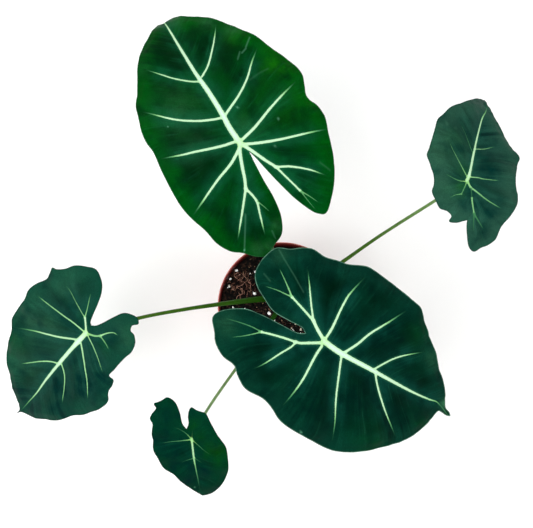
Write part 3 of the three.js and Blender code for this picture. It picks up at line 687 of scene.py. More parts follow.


# Colours of one blade: the lamina's deep and light tones, beside the veins (near), in the outer zone,
# in the warm patches and in the cool dark ones, and the line along its margin.
# The near tone is partly a painted velvet sheen, and the cool tone partly painted shade in the dim patches.
BLADE_TONES = {
    "a": {"deep": (0, 32, 6), "light": (0, 58, 12), "near": (10, 68, 42), "outer": (0, 66, 4),
          "warm": (14, 88, 4), "cool": (0, 32, 8), "margin": (44, 88, 56)},
    "b": {"deep": (0, 18, 10), "light": (2, 40, 28), "near": (8, 54, 46), "outer": (6, 44, 34),
          "warm": (2, 50, 20), "cool": (0, 20, 18), "margin": (86, 128, 108)},
    "c": {"deep": (6, 42, 33), "light": (20, 60, 47), "near": (20, 62, 54), "outer": (16, 61, 47),
          "warm": (6, 62, 26), "cool": (2, 36, 34), "margin": (6, 44, 34)},
    "d": {"deep": (10, 46, 38), "light": (26, 66, 54), "near": (26, 69, 58), "outer": (38, 76, 61),
          "warm": (16, 72, 24), "cool": (2, 40, 37), "margin": (10, 50, 42)},
    "e": {"deep": (0, 29, 23), "light": (0, 44, 29), "near": (2, 46, 36), "outer": (2, 46, 28),
          "warm": (4, 58, 10), "cool": (0, 26, 28), "margin": (0, 34, 24)},
}
# Colours that all blades share: in pale patches, of the fine side veins, beside bright veins, in the
# middle of broad veins, where the veins meet, of the scuffs, and what the velvet and the gloss reflect
# The pale tone is partly painted sheen and light.
LEAF_TONES = {"pale": (62, 122, 82), "side_vein": (34, 100, 72), "halo": (34, 104, 74),
              "core": (190, 214, 200), "hub": (152, 206, 112), "mark": (120, 200, 160),
              "velvet": (70, 170, 120), "gloss": (60, 255, 170)}
# A vein's colour by its brightness
VEIN_TONES = [(0.05, (29, 76, 50)), (0.3, (58, 115, 74)), (0.55, (102, 160, 102)), (0.75, (138, 192, 134)),
              (1.0, (171, 209, 167))]
BLADE_FIELDS = ("vein", "glow", "rim", "fan", "hub", "mark", "warm", "pale", "dim")


def upper_side(key):
    """Velvety dark lamina with crisp pale veins, fine parallel side veins and a thin margin line."""
    tones = {name: srgb(*tone) for name, tone in (LEAF_TONES | BLADE_TONES[key]).items()}
    p = Paint(f"blade_{key}_upper", Sheen_Weight=0.05, Sheen_Roughness=0.3, Sheen_Tint=tones["velvet"],
              Specular_IOR_Level=0.05, Specular_Tint=tones["gloss"])
    vein, glow, rim, fan, hub, mark, warm, pale, dim = (p.field(name) for name in BLADE_FIELDS)

    # The lamina's broad tones: clouded, other in the outer zone, its own teal with a painted velvet sheen
    # beside the veins, and painted shade in the middle of the panels between them
    lamina = p.mix(p.noise(38, 3).ramp(0.36, 0.64), tones["deep"], tones["light"])
    zone = rim.ramp(26, 2) + p.noise(22, 2) * 0.8
    lamina = p.mix(zone.ramp(0.6, 1.5, 0, 0.75), lamina, tones["outer"])
    # Beside the veins: the lamina's teal and a painted velvet sheen, patchy
    beside = vein.ramp(13, 1) * glow.ramp(0.1, 0.9, 0.1, 0.75)
    lamina = p.mix(beside * p.noise(16, 2).ramp(0.3, 0.6, 0.4, 1), lamina, tones["near"])
    # Painted shade of the quilting: darker in the middle of the panels between veins
    panel_shade = vein.ramp(3, 9) * rim.ramp(7, 24)
    lamina = p.shade(lamina, panel_shade.ramp(0, 1, 1, 0.78))

    # Its patches: warm ones of a brighter green, pale ones partly a paler tone and partly painted sheen
    # and light, dark ones partly bluish mottling and partly painted shade, banded along the side veins
    patchy = p.noise(9, 3).ramp(0.3, 0.7, 0.6, 1.3)
    lamina = p.mix(warm * patchy, lamina, tones["warm"])
    lamina = p.mix(pale * patchy, lamina, tones["pale"])
    broad = p.streaks(fan, rim * 0.03, 7.0, 0.16)
    banded = dim * patchy * broad.ramp(0.36, 0.64, 1.3, 0.6)
    cool = p.math("MAXIMUM", p.noise(21, 2).ramp(0.5, 0.7, 0, 0.6), banded.ramp(0, 0.75))
    lamina = p.mix(cool, lamina, tones["cool"])

    # Side veins and the velvet's grain
    fine = p.streaks(fan, rim * 0.02, scale=0.55)
    uneven = p.noise(13, 3).ramp(0.4, 0.65)
    lamina = p.mix(uneven, lamina, p.shade(lamina, broad.ramp(0.3, 0.7, 0.7, 1.3)))
    lamina = p.mix(fine.ramp(0.48, 0.8, 0, 0.24) * uneven, lamina, tones["side_vein"])
    lamina = p.shade(lamina, fine.ramp(0.25, 0.5, 0.9, 1))
    lamina = p.shade(lamina, p.noise(0.8, 2).ramp(0.3, 0.75, 0.8, 1.15))

    # Veins with ragged edges and short spurs, then scuffs and the worn line of the margin
    lamina = p.mix(vein.ramp(1.8, 0.2) * glow.ramp(0.75, 1, 0, 0.25), lamina, tones["halo"])
    ragged = vein + (p.noise(1.4, 3) - 0.5) * 0.5
    spurs = p.streaks(fan, scale=1.3).ramp(0.56, 0.7) * glow.ramp(0.3, 0.9, 0, 0.75)
    ragged = ragged - spurs
    body = glow.stops(*((place, srgb(*tone)) for place, tone in VEIN_TONES))
    body = p.mix(vein.ramp(-0.7, -1.7) * glow.ramp(0.7, 1), body, tones["core"])
    body = p.mix(hub.ramp(8, 1, 0, 0.4), body, tones["hub"])
    colour = p.mix(ragged.ramp(0.05, -0.35) * glow.ramp(0, 0.3), lamina, body)
    colour = p.mix(mark, colour, tones["mark"])
    worn = p.noise(7, 3).ramp(0.35, 0.6, 0.3, 0.9)
    colour = p.mix(rim.ramp(0.8, 0.3) * worn, colour, tones["margin"])

    rough = p.noise(6, 3).ramp(0.3, 0.7, 0.42, 0.56)
    grain = p.bump(p.cells(0.55), 0.05, 0.5)
    return p.surface(Base_Color=colour, Roughness=rough, Normal=p.bump(fine, 0.3, 0.4, Normal=grain))


def under_side(key):
    """Paler grey-green underside with raised pale ribs."""
    p = Paint(f"blade_{key}_under", Specular_IOR_Level=0.3, Sheen_Weight=0.05)
    vein, glow, fan = (p.field(name) for name in ("vein", "glow", "fan"))
    lamina = p.mix(p.noise(30, 3).ramp(0.35, 0.65), srgb(62, 104, 66), srgb(86, 128, 84))
    fine = p.streaks(fan, scale=0.55)
    lamina = p.mix(fine.ramp(0.45, 0.65, 0.0, 0.4), lamina, srgb(112, 152, 98))
    rib = p.mix(glow.ramp(0, 0.7), srgb(102, 146, 84), srgb(170, 204, 134))
    colour = p.mix(vein.ramp(0.5, -0.1), lamina, rib)
    rough = p.noise(5, 3).ramp(0.3, 0.7, 0.38, 0.5)
    return p.surface(Base_Color=colour, Roughness=rough, Normal=p.bump(fine, 0.4, 0.6))


def stalk_paint(key):
    """Green skin that pales towards the blade, with fine long streaks and faint cross bands."""
    low, middle, high = (srgb(*tone) for tone in STALKS[key]["tones"])
    p = Paint(f"stalk_{key}", Specular_IOR_Level=0.12, Specular_Tint=srgb(150, 255, 90))
    share, along, cosine, sine = (p.field(name) for name in ("share", "along", "cosine", "sine"))
    colour = share.stops((0.15, low), (0.5, middle), (0.85, high))
    grain = p.streaks(cosine * 5, sine * 5, along * 0.03)
    colour = p.shade(colour, grain.ramp(0.3, 0.7, 0.8, 1.15))
    bands = p.streaks(cosine * 0.6, sine * 0.6, along * 0.22)
    colour = p.shade(colour, bands.ramp(0.42, 0.6, 0.85, 1.06))
    colour = p.mix(along.ramp(14, 0) * grain.ramp(0.35, 0.6), colour, srgb(110, 96, 52))
    rough = grain.ramp(0.3, 0.7, 0.34, 0.5)
    return p.surface(Base_Color=colour, Roughness=rough, Normal=p.bump(grain, 0.12, 0.6))


def pot_paint():
    """Satin moulded plastic: painted shade on the inner wall, deep red and darker towards the soil, a painted
    highlight along the lip, a little dusty.
    """
    p = Paint("pot_plastic_red", Specular_IOR_Level=0.35)
    x, y, z = (Value(p, part) for part in p.node("SeparateXYZ", {"Vector": p.place}).socket.node.outputs)
    out = (x * x + y * y) ** 0.5
    colour = p.mix(p.noise(26, 4).ramp(0.35, 0.65), srgb(150, 44, 34), srgb(164, 58, 44))
    # Painted shade on the inner wall above the soil: deep red, darkest down by the soil
    edge = z.ramp(102 * MM, 103 * MM, 58.9 * MM, 59.8 * MM)
    inside = (out - edge).ramp(0.2 * MM, -0.2 * MM) * z.ramp(83 * MM, 85 * MM)
    wall = p.mix(z.ramp(94 * MM, 104.6 * MM), srgb(38, 4, 3), srgb(92, 17, 12))
    # Painted highlight along the top of the lip, broken up by noise
    lip = z.ramp(103.9 * MM, 104.7 * MM) * p.noise(5, 3).ramp(0.3, 0.6, 0.5, 0.95)
    colour = p.mix(inside, p.mix(lip, colour, srgb(204, 116, 106)), wall)
    dust = p.noise(3.5, 4).ramp(0.56, 0.72, 0, 0.5) * z.ramp(60 * MM, 8 * MM, 0.25, 1)
    colour = p.mix(dust, colour, srgb(150, 112, 88))
    scuffs = p.node("Mapping", {"Vector": p.place, "Scale": (1, 1, 0.12)})
    lines = p.node("TexNoise", {"Vector": scuffs, "Scale": 700.0, "Detail": 3.0})
    rough = lines.ramp(0.35, 0.7, 0.3, 0.46) + dust * 0.4
    return p.surface(Base_Color=colour, Roughness=rough, Normal=p.bump(p.noise(0.5, 2), 0.04, 0.5))


def soil_paint():
    """Nearly black moist mix with brown crumbs."""
    p = Paint("potting_mix_dark", Specular_IOR_Level=0.15, Roughness=0.95)
    grey = p.node("SeparateColor", {0: p.cells(1.6, "Color")})
    colour = grey.stops((0.3, srgb(4, 2, 2)), (0.75, srgb(12, 7, 5)), (0.97, srgb(48, 31, 23)))
    colour = p.shade(colour, p.noise(14, 3).ramp(0.35, 0.65, 0.45, 1.25))
    return p.surface(Base_Color=colour, Normal=p.bump(p.noise(0.9, 4, 0.7), 0.5, 0.8))


def tinted_paint(name, dark, middle, light, grain, gloss):
    """A rough natural colour between three tones, by a tint on each bit and by fine noise."""
    p = Paint(name, Specular_IOR_Level=gloss)
    speck = (p.noise(grain, 3, 0.65) - 0.5) * 0.9
    tone = p.field("tint") + speck
    colour = tone.stops((0.1, srgb(*dark)), (0.5, srgb(*middle)), (0.9, srgb(*light)))
    rough = p.noise(grain * 2, 2).ramp(0.3, 0.7, 0.7, 0.95)
    return p.surface(Base_Color=colour, Roughness=rough, Normal=p.bump(p.noise(grain, 4), grain / 3, 0.7))


# Blades

# Veins brighter than strong fade from the leaf's own place on, others from weak_from. Each narrows
# towards its end, less where it forks, and is rounded into its neighbours within join of them. The
# fan is known within on_line of a vein's middle.
VEIN = {"strong": 0.85, "weak_from": 0.8, "faded": 0.92, "narrows": 0.55, "narrows_to_fork": 0.2,
        "join": 1.3, "on_line": 0.12}


def midrib_at(leaf, along):
    """Pitch, run and rise along the midrib: one arc behind the joint, one ahead of it, one in the tip."""
    def arc(start, degrees_per_mm, distance):
        bend = math.radians(degrees_per_mm)
        end = start + bend * distance
        return end, (np.sin(end) - np.sin(start)) / bend, (np.cos(end) - np.cos(start)) / bend
    pitch = math.radians(leaf["pitch"])
    bend_back, bend_ahead = leaf["bend"]
    curl_from, curl = leaf["curl"]
    back = arc(pitch, bend_back, np.minimum(along, 0))
    ahead = arc(pitch, bend_ahead, np.clip(along, 0, curl_from))
    tip = arc(ahead[0], curl, np.maximum(along - curl_from, 0))
    return np.where(along < 0, back[0], tip[0]), back[1] + ahead[1] + tip[1], back[2] + ahead[2] + tip[2]


def blade_at(leaf, along, across):
    """Points of the blade's mid-surface in mm."""
    pitch, run, rise = midrib_at(leaf, along)
    fold, droop = math.radians(leaf["fold"]), math.radians(leaf["droop"])
    lean = fold - droop * np.abs(across)
    flat_side = np.sign(across) * (math.sin(fold) - np.sin(lean)) / droop
    flat_lift = (np.cos(lean) - math.cos(fold)) / droop
    turn = math.radians(leaf["twist"]) * along
    side = flat_side * np.cos(turn) - flat_lift * np.sin(turn)
    lift = flat_side * np.sin(turn) + flat_lift * np.cos(turn)
    wave, wave_length = leaf["wave"]
    ripple = np.sin(2 * math.pi * along / wave_length + np.sign(across))
    lift = lift + wave * (across / leaf["half_width"]) ** 2 * ripple
    forward = run + np.sin(pitch) * lift
    heading = math.radians(leaf["heading"])
    x, y, z = leaf["joint"]
    return np.stack([x + forward * math.cos(heading) - side * math.sin(heading),
                     y + forward * math.sin(heading) + side * math.cos(heading),
                     z + rise + np.cos(pitch) * lift], -1)


def blade_normal(leaf, along, across, step=0.5):
    ahead = blade_at(leaf, along + step, across) - blade_at(leaf, along - step, across)
    aside = blade_at(leaf, along, across + step) - blade_at(leaf, along, across - step)
    normal = np.cross(ahead, aside)
    return normal / np.linalg.norm(normal, axis=-1, keepdims=True)


def blade_edge(leaf, spacing):
    """The blade's outline, counter-clockwise, from the tip down the left side and back up the right."""
    left, right = smooth(leaf["left"], spacing), smooth(leaf["right"], spacing)
    return np.concatenate([left, right[1:-1][::-1]])


def vein_lines(leaf):
    """Each vein as (centre line, half width at each point, brightness at each point, place in the fan)."""
    spine = smooth(leaf["spine"], FINE["vein_line"])
    reach, widths, bright = zip(*leaf["midrib"])
    lines = [(spine, np.interp(spine[:, 0], reach, widths) / 2, np.interp(spine[:, 0], reach, bright), None)]
    for width, bright, fan, points in leaf["veins"]:
        line = smooth(points, FINE["vein_line"])
        t = np.linspace(0, 1, len(line))
        forked = any(points[-1] == other[3][0] for other in leaf["veins"])
        strong = bright > VEIN["strong"]
        fades_from = leaf["fade"] if strong else VEIN["weak_from"]
        fade = np.clip((t - fades_from) / (1 - fades_from), 0, 1)
        if forked:
            half = width / 2 * (1 - VEIN["narrows_to_fork"] * t)
            glow = bright * np.ones(len(line))
        else:
            half = width / 2 * (1 - VEIN["narrows"] * t**1.5)
            glow = bright * (1 - VEIN["faded"] * fade**2 * (3 - 2 * fade))
            if not strong:
                glow = glow * (1 - leaf["faint"] * t)
        lines.append((line, half, glow, fan))
    return lines


def offset_rows(line, half):
    """Rows of points beside a vein: on its edges, halfway to them when it is broad, and just outside."""
    ahead = np.gradient(line, axis=0)
    side = np.stack([-ahead[:, 1], ahead[:, 0]], 1)
    side /= np.linalg.norm(side, axis=1, keepdims=True)
    rows = [line]
    reaches = [(half, 0), (half + FINE["beside_vein"], 0), (half * FINE["in_broad"], FINE["broad"])]
    for sign in (-1, 1):
        for reach, needed in reaches:
            rows.append((line + sign * side * reach[:, None])[half >= needed])
    return np.concatenate(rows)


def thin_out(points, spacing, kept):
    """Drops points nearer than the spacing to one that is already kept. Earlier points win."""
    cells = {}

    def cell(p):
        return int(p[0] // spacing), int(p[1] // spacing)

    def near(p):
        i, j = cell(p)
        return [q for a in (-1, 0, 1) for b in (-1, 0, 1) for q in cells.get((i + a, j + b), ())]

    for p in kept:
        cells.setdefault(cell(p), []).append(p)
    chosen = []
    for p in points:
        if all((p[0] - q[0]) ** 2 + (p[1] - q[1]) ** 2 >= spacing * spacing for q in near(p)):
            cells.setdefault(cell(p), []).append(p)
            chosen.append(p)
    return np.array(chosen).reshape(-1, 2)


def hex_grid(low, high, spacing):
    """Points in rows, each row half a step on from the last."""
    step = spacing * 0.866
    rows = []
    for j in range(int((high[1] - low[1]) / step) + 2):
        x = np.arange(low[0] + (j % 2) * spacing / 2, high[0], spacing)
        rows.append(np.stack([x, np.full_like(x, low[1] + j * step)], 1))
    return np.concatenate(rows)


def inset(outline, distance):
    """The closed outline moved inwards."""
    ahead = np.roll(outline, -1, 0) - np.roll(outline, 1, 0)
    inward = np.stack([-ahead[:, 1], ahead[:, 0]], 1)
    return outline + inward / np.linalg.norm(inward, axis=1, keepdims=True) * distance


def blade_plan(leaf, outline, lines):
    """The blade laid flat: its points, close together beside veins, marks and margin, and triangles."""
    rows = [offset_rows(line, half) for line, half, _, _ in lines]
    for width, _, points in leaf["marks"]:
        line = respace(np.array(points, float), FINE["mark_line"])
        rows.append(offset_rows(line, np.full(len(line), width / 2)))
    rows += [inset(outline, distance) for distance in FINE["margin_rows"]]
    rows = thin_out(np.concatenate(rows), FINE["apart"], outline)
    grid = hex_grid(outline.min(0), outline.max(0), leaf["grid"])
    grid = thin_out(grid, leaf["grid"] * FINE["off_fine"], np.concatenate([outline, rows]))
    points = [Vector(p) for p in np.concatenate([outline, rows, grid])]
    filled = geometry.delaunay_2d_cdt(points, [], [list(range(len(outline)))], 1, 1e-5)
    used, faces = np.unique(np.array(filled[2]), return_inverse=True)
    return np.array([filled[0][i][:] for i in used]), faces.reshape(-1, 3)


def patch_field(patches, flat):
    """How strong soft round patches are at each place."""
    total = np.zeros(len(flat))
    for along, across, radius, strength in patches:
        away = np.hypot(flat[:, 0] - along, flat[:, 1] - across)
        total = np.maximum(total, strength * bell(away, radius))
    return total


def mark_field(marks, flat, soft=0.5):
    """How strong the pale marks are at each place."""
    total = np.zeros(len(flat))
    for width, strength, points in marks:
        away, _ = nearest_on(np.array(points, float), flat)
        total = np.maximum(total, strength * np.clip((width / 2 - away) / soft + 0.5, 0, 1))
    return total


def vein_fields(lines, flat, edges):
    """The distance past the nearest vein's edge, its brightness, the rib's height and the fan."""
    vein = np.full(len(flat), 1e3)
    nearest = vein.copy()
    glow, rib, fan = np.zeros((3, len(flat)))
    known = np.zeros(len(flat), bool)
    for line, half, bright, place in lines:
        away, t = nearest_on(line, flat)
        at = t * (len(line) - 1)
        steps = np.arange(len(line))
        width = np.interp(at, steps, half)
        nearer = away - width < nearest
        nearest[nearer] = (away - width)[nearer]
        glow[nearer] = np.interp(at, steps, bright)[nearer]
        vein = blend_min(vein, away - width, VEIN["join"])
        height = LAMINA["rib"] + LAMINA["rib_per_width"] * width
        rib_half = LAMINA["rib_wider"] * width + LAMINA["rib_beside"]
        rib = np.maximum(rib, height * np.sqrt(np.clip(1 - (away / rib_half) ** 2, 0, 1)))
        on_line = away < VEIN["on_line"]
        known |= on_line
        fan[on_line] = np.interp(at, steps, line[:, 0])[on_line] if place is None else place
    return vein, glow, rib, spread(known, fan, edges)


def relief(leaf, flat, vein, rim, fan):
    """How far the lamina stands off its smooth mid-surface."""
    off_vein = np.maximum(vein, 0)
    swell = RELIEF["near"] * (1 - np.exp(-off_vein / RELIEF["near_reach"]))
    swell = (swell + RELIEF["quilt"] * (1 - bell(off_vein, RELIEF["quilt_reach"]))) \
        * np.clip(rim / RELIEF["margin_reach"], RELIEF["at_margin"], 1)
    pleat = RELIEF["pleat"] * noise_at(fan[:, None], RELIEF["pleat_size"], 3.0) \
        * np.clip(off_vein / RELIEF["pleat_reach"], 0, 1)
    seed = leaf["pitch"]
    lumps = noise_at(flat, RELIEF["lump_size"], seed, 2) \
        + RELIEF["small_lump"] * noise_at(flat, RELIEF["small_lump_size"], 4 + seed, 2)
    frill = noise_at(flat, RELIEF["frill_size"], 9 + leaf["fold"], 2)
    return (swell + pleat + RELIEF["lump"] * lumps
            + RELIEF["frill"] * frill * np.exp(-rim / RELIEF["frill_reach"]))


def boundary(faces):
    """The directed edges that only one triangle has."""
    both = {(a, b) for a, b in sides_of(faces).tolist()}
    return [(a, b) for a, b in both if (b, a) not in both]


def sides_of(faces):
    """The three directed edges of each triangle."""
    return np.concatenate([faces[:, [0, 1]], faces[:, [1, 2]], faces[:, [2, 0]]])


def add_blade(key):
    leaf = LEAVES[key]
    outline = blade_edge(leaf, leaf["grid"])
    lines = vein_lines(leaf)
    flat, faces = blade_plan(leaf, outline, lines)
    count = len(flat)
    vein, glow, rib, fan = vein_fields(lines, flat, np.unique(np.sort(sides_of(faces), 1), axis=0))
    rim, _ = nearest_on(np.concatenate([outline, outline[:1]]), flat)

    sheet = relief(leaf, flat, vein, rim, fan)
    half_thick = LAMINA["edge"] + LAMINA["inner"] * np.clip(rim / LAMINA["edge_reach"], 0, 1)
    crown = LAMINA["vein_crown"] * np.clip(-vein / LAMINA["crown_reach"], 0, 1)
    middle, normal = blade_at(leaf, *flat.T), blade_normal(leaf, *flat.T)
    top = middle + normal * (sheet + half_thick + crown)[:, None]
    bottom = middle + normal * (sheet - half_thick - rib)[:, None]

    stitched = [(b, a, a + count, b + count) for a, b in boundary(faces)]
    shades = [0] * len(faces) + [1] * len(faces) + [0] * len(stitched)
    all_faces = faces.tolist() + (faces[:, ::-1] + count).tolist() + stitched
    fields = {"vein": vein, "glow": glow, "rim": rim, "fan": fan, "hub": np.hypot(*flat.T),
              "mark": mark_field(leaf["marks"], flat)}
    fields |= {name: patch_field(leaf[name], flat) for name in ("warm", "pale", "dim")}
    add_piece(f"leaf_blade_{key}", np.concatenate([top, bottom]), all_faces,
              [upper_side(key), under_side(key)], "blade", [f"blade_{key}"], shades,
              **{name: np.tile(values, 2) for name, values in fields.items()})


# Stalks

def stalk_line(key):
    """From the crown, straight up for a short way, past the given points and on to the blade's joint."""
    turn = math.radians(STALKS[key]["at"])

    def foot(height, circle):
        return CROWN["x"] + circle * math.cos(turn), CROWN["y"] + circle * math.sin(turn), height

    circle = CROWN["stalk_circle"]
    route = [foot(CROWN["z"] + 0.6, circle), foot(CROWN["z"] + 6, circle + 0.2), *STALKS[key]["via"]]
    line = smooth([*route, LEAVES[key]["joint"]], 1.5)
    return np.concatenate([[line[0] - (0, 0, 1.2)], line])


def add_stalk(key):
    """A slender stalk: swollen and sheathed at the base, grooved inside, thickened under the blade."""
    leaf, at, base, top = LEAVES[key], *(STALKS[key][name] for name in ("at", "base", "top"))
    line = stalk_line(key)
    steps = np.linalg.norm(np.diff(line, axis=0), axis=1)
    along = np.concatenate([[0], np.cumsum(steps)])[:, None]
    share = along / along[-1]
    turn = round_turn(STALK["sides"])
    inward = (CROWN["x"] - line[0][0], CROWN["y"] - line[0][1], 0)
    off_groove = np.abs((turn + math.pi) % (2 * math.pi) - math.pi)

    radius = top + (base - top) * (1 - share) ** STALK["flare"]
    radius = radius * (1 + STALK["swell"] * bell(along[-1] - along, STALK["swell_reach"]))
    groove = STALK["groove"] * radius * bell(off_groove, STALK["groove_width"])
    wings = STALK["wing"] * bell(along, STALK["wing_reach"]) \
        * bell(off_groove - STALK["wing_at"], STALK["wing_width"])
    wobble = STALK["wobble"] * radius * noise_at(np.concatenate([along, along * 0], 1), 14, at)[:, None]
    points, faces = tube(line, radius - groove + wings + wobble, len(turn), inward)

    # The end is cut off flush under the blade
    joint = blade_at(leaf, np.zeros(1), np.zeros(1))[0]
    normal = blade_normal(leaf, np.zeros(1), np.zeros(1))[0]
    above = np.maximum((points - joint) @ normal + STALK["under_blade"], 0)
    close = np.linalg.norm(points - joint, axis=1) < STALK["joint_reach"]
    points = points - np.where(close, above, 0)[:, None] * normal

    fields = {}
    per_ring = {"share": share, "along": along, "cosine": np.cos(turn)[None], "sine": np.sin(turn)[None]}
    for name, values in per_ring.items():
        ring = np.broadcast_to(values, (len(line), len(turn))).ravel()
        fields[name] = np.concatenate([ring, ring[[0, -1]]])
    add_piece(f"leaf_stalk_{key}", points, faces, [stalk_paint(key)], "petiole", [f"petiole_{key}"], **fields)


# Pot

def add_pot():
    """A thin-walled pot with a collar, a rolled lip, a foot ring, a low pad and drain holes."""
    wall, floor, lift = POT["wall"], POT["floor"], POT["foot_lift"]
    foot, pad, top = POT["foot"], POT["pad"], POT["height"]
    rim, mouth, collar, shoulder = POT["rim"], POT["mouth"], POT["collar"], POT["shoulder"]
    ring_inside = foot - POT["foot_ring"]
    ledge = top - POT["collar_depth"]
    profile = [
        (0, 0), (pad, 0), (pad + 2, lift), (ring_inside - 2, lift), (ring_inside, 0), (foot, 0),
        (shoulder, ledge - 2), (collar - 0.4, ledge), (collar, top - 3),
        (rim, top - 2.2), (rim, top - 0.6), (rim - 0.6, top), (mouth, top),
        (collar - wall, top - 3), (collar - 1.6, ledge + 1.2), (shoulder - wall, ledge - 0.8),
        (foot - wall, floor), (ring_inside + 1, floor), (ring_inside - 1, lift + floor),
        (pad + 1, lift + floor), (pad - 1, floor), (0, floor),
    ]
    points, faces = lathe(rounded(profile, POT["corner"], 3.0), POT["sides"])
    pot = add_piece("nursery_pot", points, faces, [pot_paint()], "pot_plastic", ["pot"])

    radius, low, high = DRAIN["radius"], DRAIN["low"], DRAIN["high"]
    plugs = []
    for turn in round_turn(DRAIN["count"]):
        centre = (DRAIN["circle"] * math.cos(turn), DRAIN["circle"] * math.sin(turn))
        plugs.append(lathe([(0, low), (radius, low), (radius, high), (0, high)], DRAIN["sides"], centre))
    points, faces, _ = merge(plugs)
    mesh = bpy.data.meshes.new("drain_cutter")
    mesh.from_pydata((points * MM).tolist(), [], faces)
    cutter = add_object("drain_cutter", mesh)
    cut = pot.modifiers.new("drain", "BOOLEAN")
    cut.object = cutter
    cut.solver = "EXACT"
    drilled = bpy.data.meshes.new_from_object(pot.evaluated_get(bpy.context.evaluated_depsgraph_get()))
    pot.modifiers.clear()
    pot.data = drilled
    bpy.data.objects.remove(cutter)
    pot.data.set_sharp_from_angle(angle=math.radians(POT["sharp_above"]))


# Potting mix

def soil_height(x, y):
    """The mix rises a little round the crown and at the wall, and is uneven between them."""
    rise = SOIL["mound"] * bell(np.hypot(x - CROWN["x"], y - CROWN["y"]), SOIL["mound_radius"])
    rise = rise + SOIL["bank"] * (np.hypot(x, y) / POT["rim"]) ** 6
    long, broad, slant = SOIL["waves"]
    waves = np.sin(x / long + 1) * np.cos(y / broad) + np.sin((x + y) / slant)
    return SOIL["level"] + rise + SOIL["uneven"] * waves


def add_soil():
    """The mix as one crumbly solid that fills the pot, a hair inside its wall."""
    gap, reach, level = SOIL["gap"], SOIL["reach"], SOIL["level"]
    pad, foot = POT["pad"], POT["foot"]
    ring = foot - POT["foot_ring"]
    low = POT["floor"] + gap
    high = POT["floor"] + POT["foot_lift"] + gap
    ledge = POT["height"] - POT["collar_depth"]
    profile = [(0, low), (pad - 1.4, low), (pad + 0.8, high), (ring - 0.8, high), (ring + 1.2, low),
               (foot - 1.8, low), (POT["shoulder"] - 1.6, ledge - 1.8), (reach - 0.1, ledge + 1.6),
               (reach, level)]
    radii = np.linspace(reach - 0.6, 0.6, SOIL["rings"])
    surface = np.stack([radii, np.full(len(radii), level)], 1)
    whole = np.concatenate([rounded(profile, POT["corner"], 4.0), surface, [(0, level)]])
    points, faces = lathe(whole, SOIL["sides"])
    on_top = points[:, 2] > level - 0.01
    x, y, _ = points[on_top].T
    place = np.stack([x, y], 1)
    crumble = np.abs(noise_at(place, 6, 1)) + 0.8 * np.abs(noise_at(place, 2.2, 2))
    crumble -= HOLLOW["depth"] * bell(np.hypot(*(place - HOLLOW["middle"]).T), HOLLOW["slope"])
    points[on_top, 2] = soil_height(x, y) + SOIL["crumble"] * (crumble - 0.45)
    add_piece("potting_soil", points, faces, [soil_paint()], "potting_mix", ["soil_mix"])


def soil_places(draw, count, middle=(0, 0), reach=SOIL["strewn"]):
    """Random places on the mix round a middle point, clear of the wall, the crown and the hollow."""
    places = []
    while len(places) < count:
        turn = draw.uniform(0, 2 * math.pi)
        out = reach * math.sqrt(draw.random())
        x, y = middle[0] + out * math.cos(turn), middle[1] + out * math.sin(turn)
        off_crown = math.hypot(x - CROWN["x"], y - CROWN["y"]) > SOIL["off_crown"]
        off_hollow = math.dist((x, y), HOLLOW["middle"]) >= HOLLOW["reach"]
        if math.hypot(x, y) < SOIL["strewn"] and off_crown and off_hollow:
            places.append((x, y))
    return places


def add_crumbs():
    """Clods of peat and bark dust strewn over the mix."""
    draw = random.Random(11)
    shape, faces = ball(2)
    clods, tints = [], []
    for i, (x, y) in enumerate(soil_places(draw, CRUMBS["count"])):
        large = draw.random() < CRUMBS["large"]
        size = draw.uniform(*CRUMBS["large_size" if large else "small_size"])
        stretch = np.array([draw.uniform(0.9, 1.8), draw.uniform(0.6, 1.0), draw.uniform(0.4, 0.8)])
        lump = shape * (1 + 0.35 * noise_at(shape, 0.9, 7.0 * i, 2))[:, None] * stretch * size
        lump = turned(lump, draw.uniform(-0.5, 0.5), draw.uniform(0, math.pi))
        clods.append((lump + (x, y, soil_height(x, y) + 0.35 * size), faces))
        tints.append(draw.random() ** (4 if large else 2))
    points, faces, owner = merge(clods)
    paint = tinted_paint("soil_crumb", (3, 2, 2), (14, 9, 7), (122, 96, 76), 0.8, 0.06)
    add_piece("soil_crumbs", points, faces, [paint], "potting_mix", tint=np.array(tints)[owner])


def add_fibres():
    """Coir fibres: a loose tuft of them at one side and single ones elsewhere."""
    draw = random.Random(5)
    places = soil_places(draw, FIBRES["tuft"], FIBRES["tuft_middle"], FIBRES["tuft_reach"])
    places += soil_places(draw, FIBRES["loose"])
    steps, limit = FIBRES["steps"], FIBRES["limit"]
    fibres, tints = [], []
    for i, (x, y) in enumerate(places):
        loose = i >= FIBRES["tuft"]
        length = draw.uniform(*FIBRES["length"])
        way = draw.uniform(0, 2 * math.pi)
        bend = draw.uniform(-0.35, 0.35)
        lift = draw.uniform(0.3, 1.0) if loose else draw.uniform(0.6, 2.8)
        line = []
        for t in np.linspace(0, 1, steps + 1):
            line.append((x, y, soil_height(x, y) + 0.25 + lift * math.sin(math.pi * t)))
            x += length / steps * math.cos(way)
            y += length / steps * math.sin(way)
            way += bend * length / steps + draw.uniform(-0.2, 0.2)
            out = math.hypot(x, y)
            if out > limit:
                x, y = limit * x / out, limit * y / out
        thick = draw.uniform(*FIBRES["radius"])
        fibres.append(tube(np.array(line), thick * np.array(FIBRE_TAPER), 5))
        tints.append(0.7 * draw.random() ** 2 if loose else draw.random())
    points, faces, owner = merge(fibres)
    paint = tinted_paint("coir_fibre", (10, 6, 5), (104, 66, 54), (200, 150, 130), 1.5, 0.1)
    add_piece("coir_fibres", points, faces, [paint], "potting_mix", tint=np.array(tints)[owner])


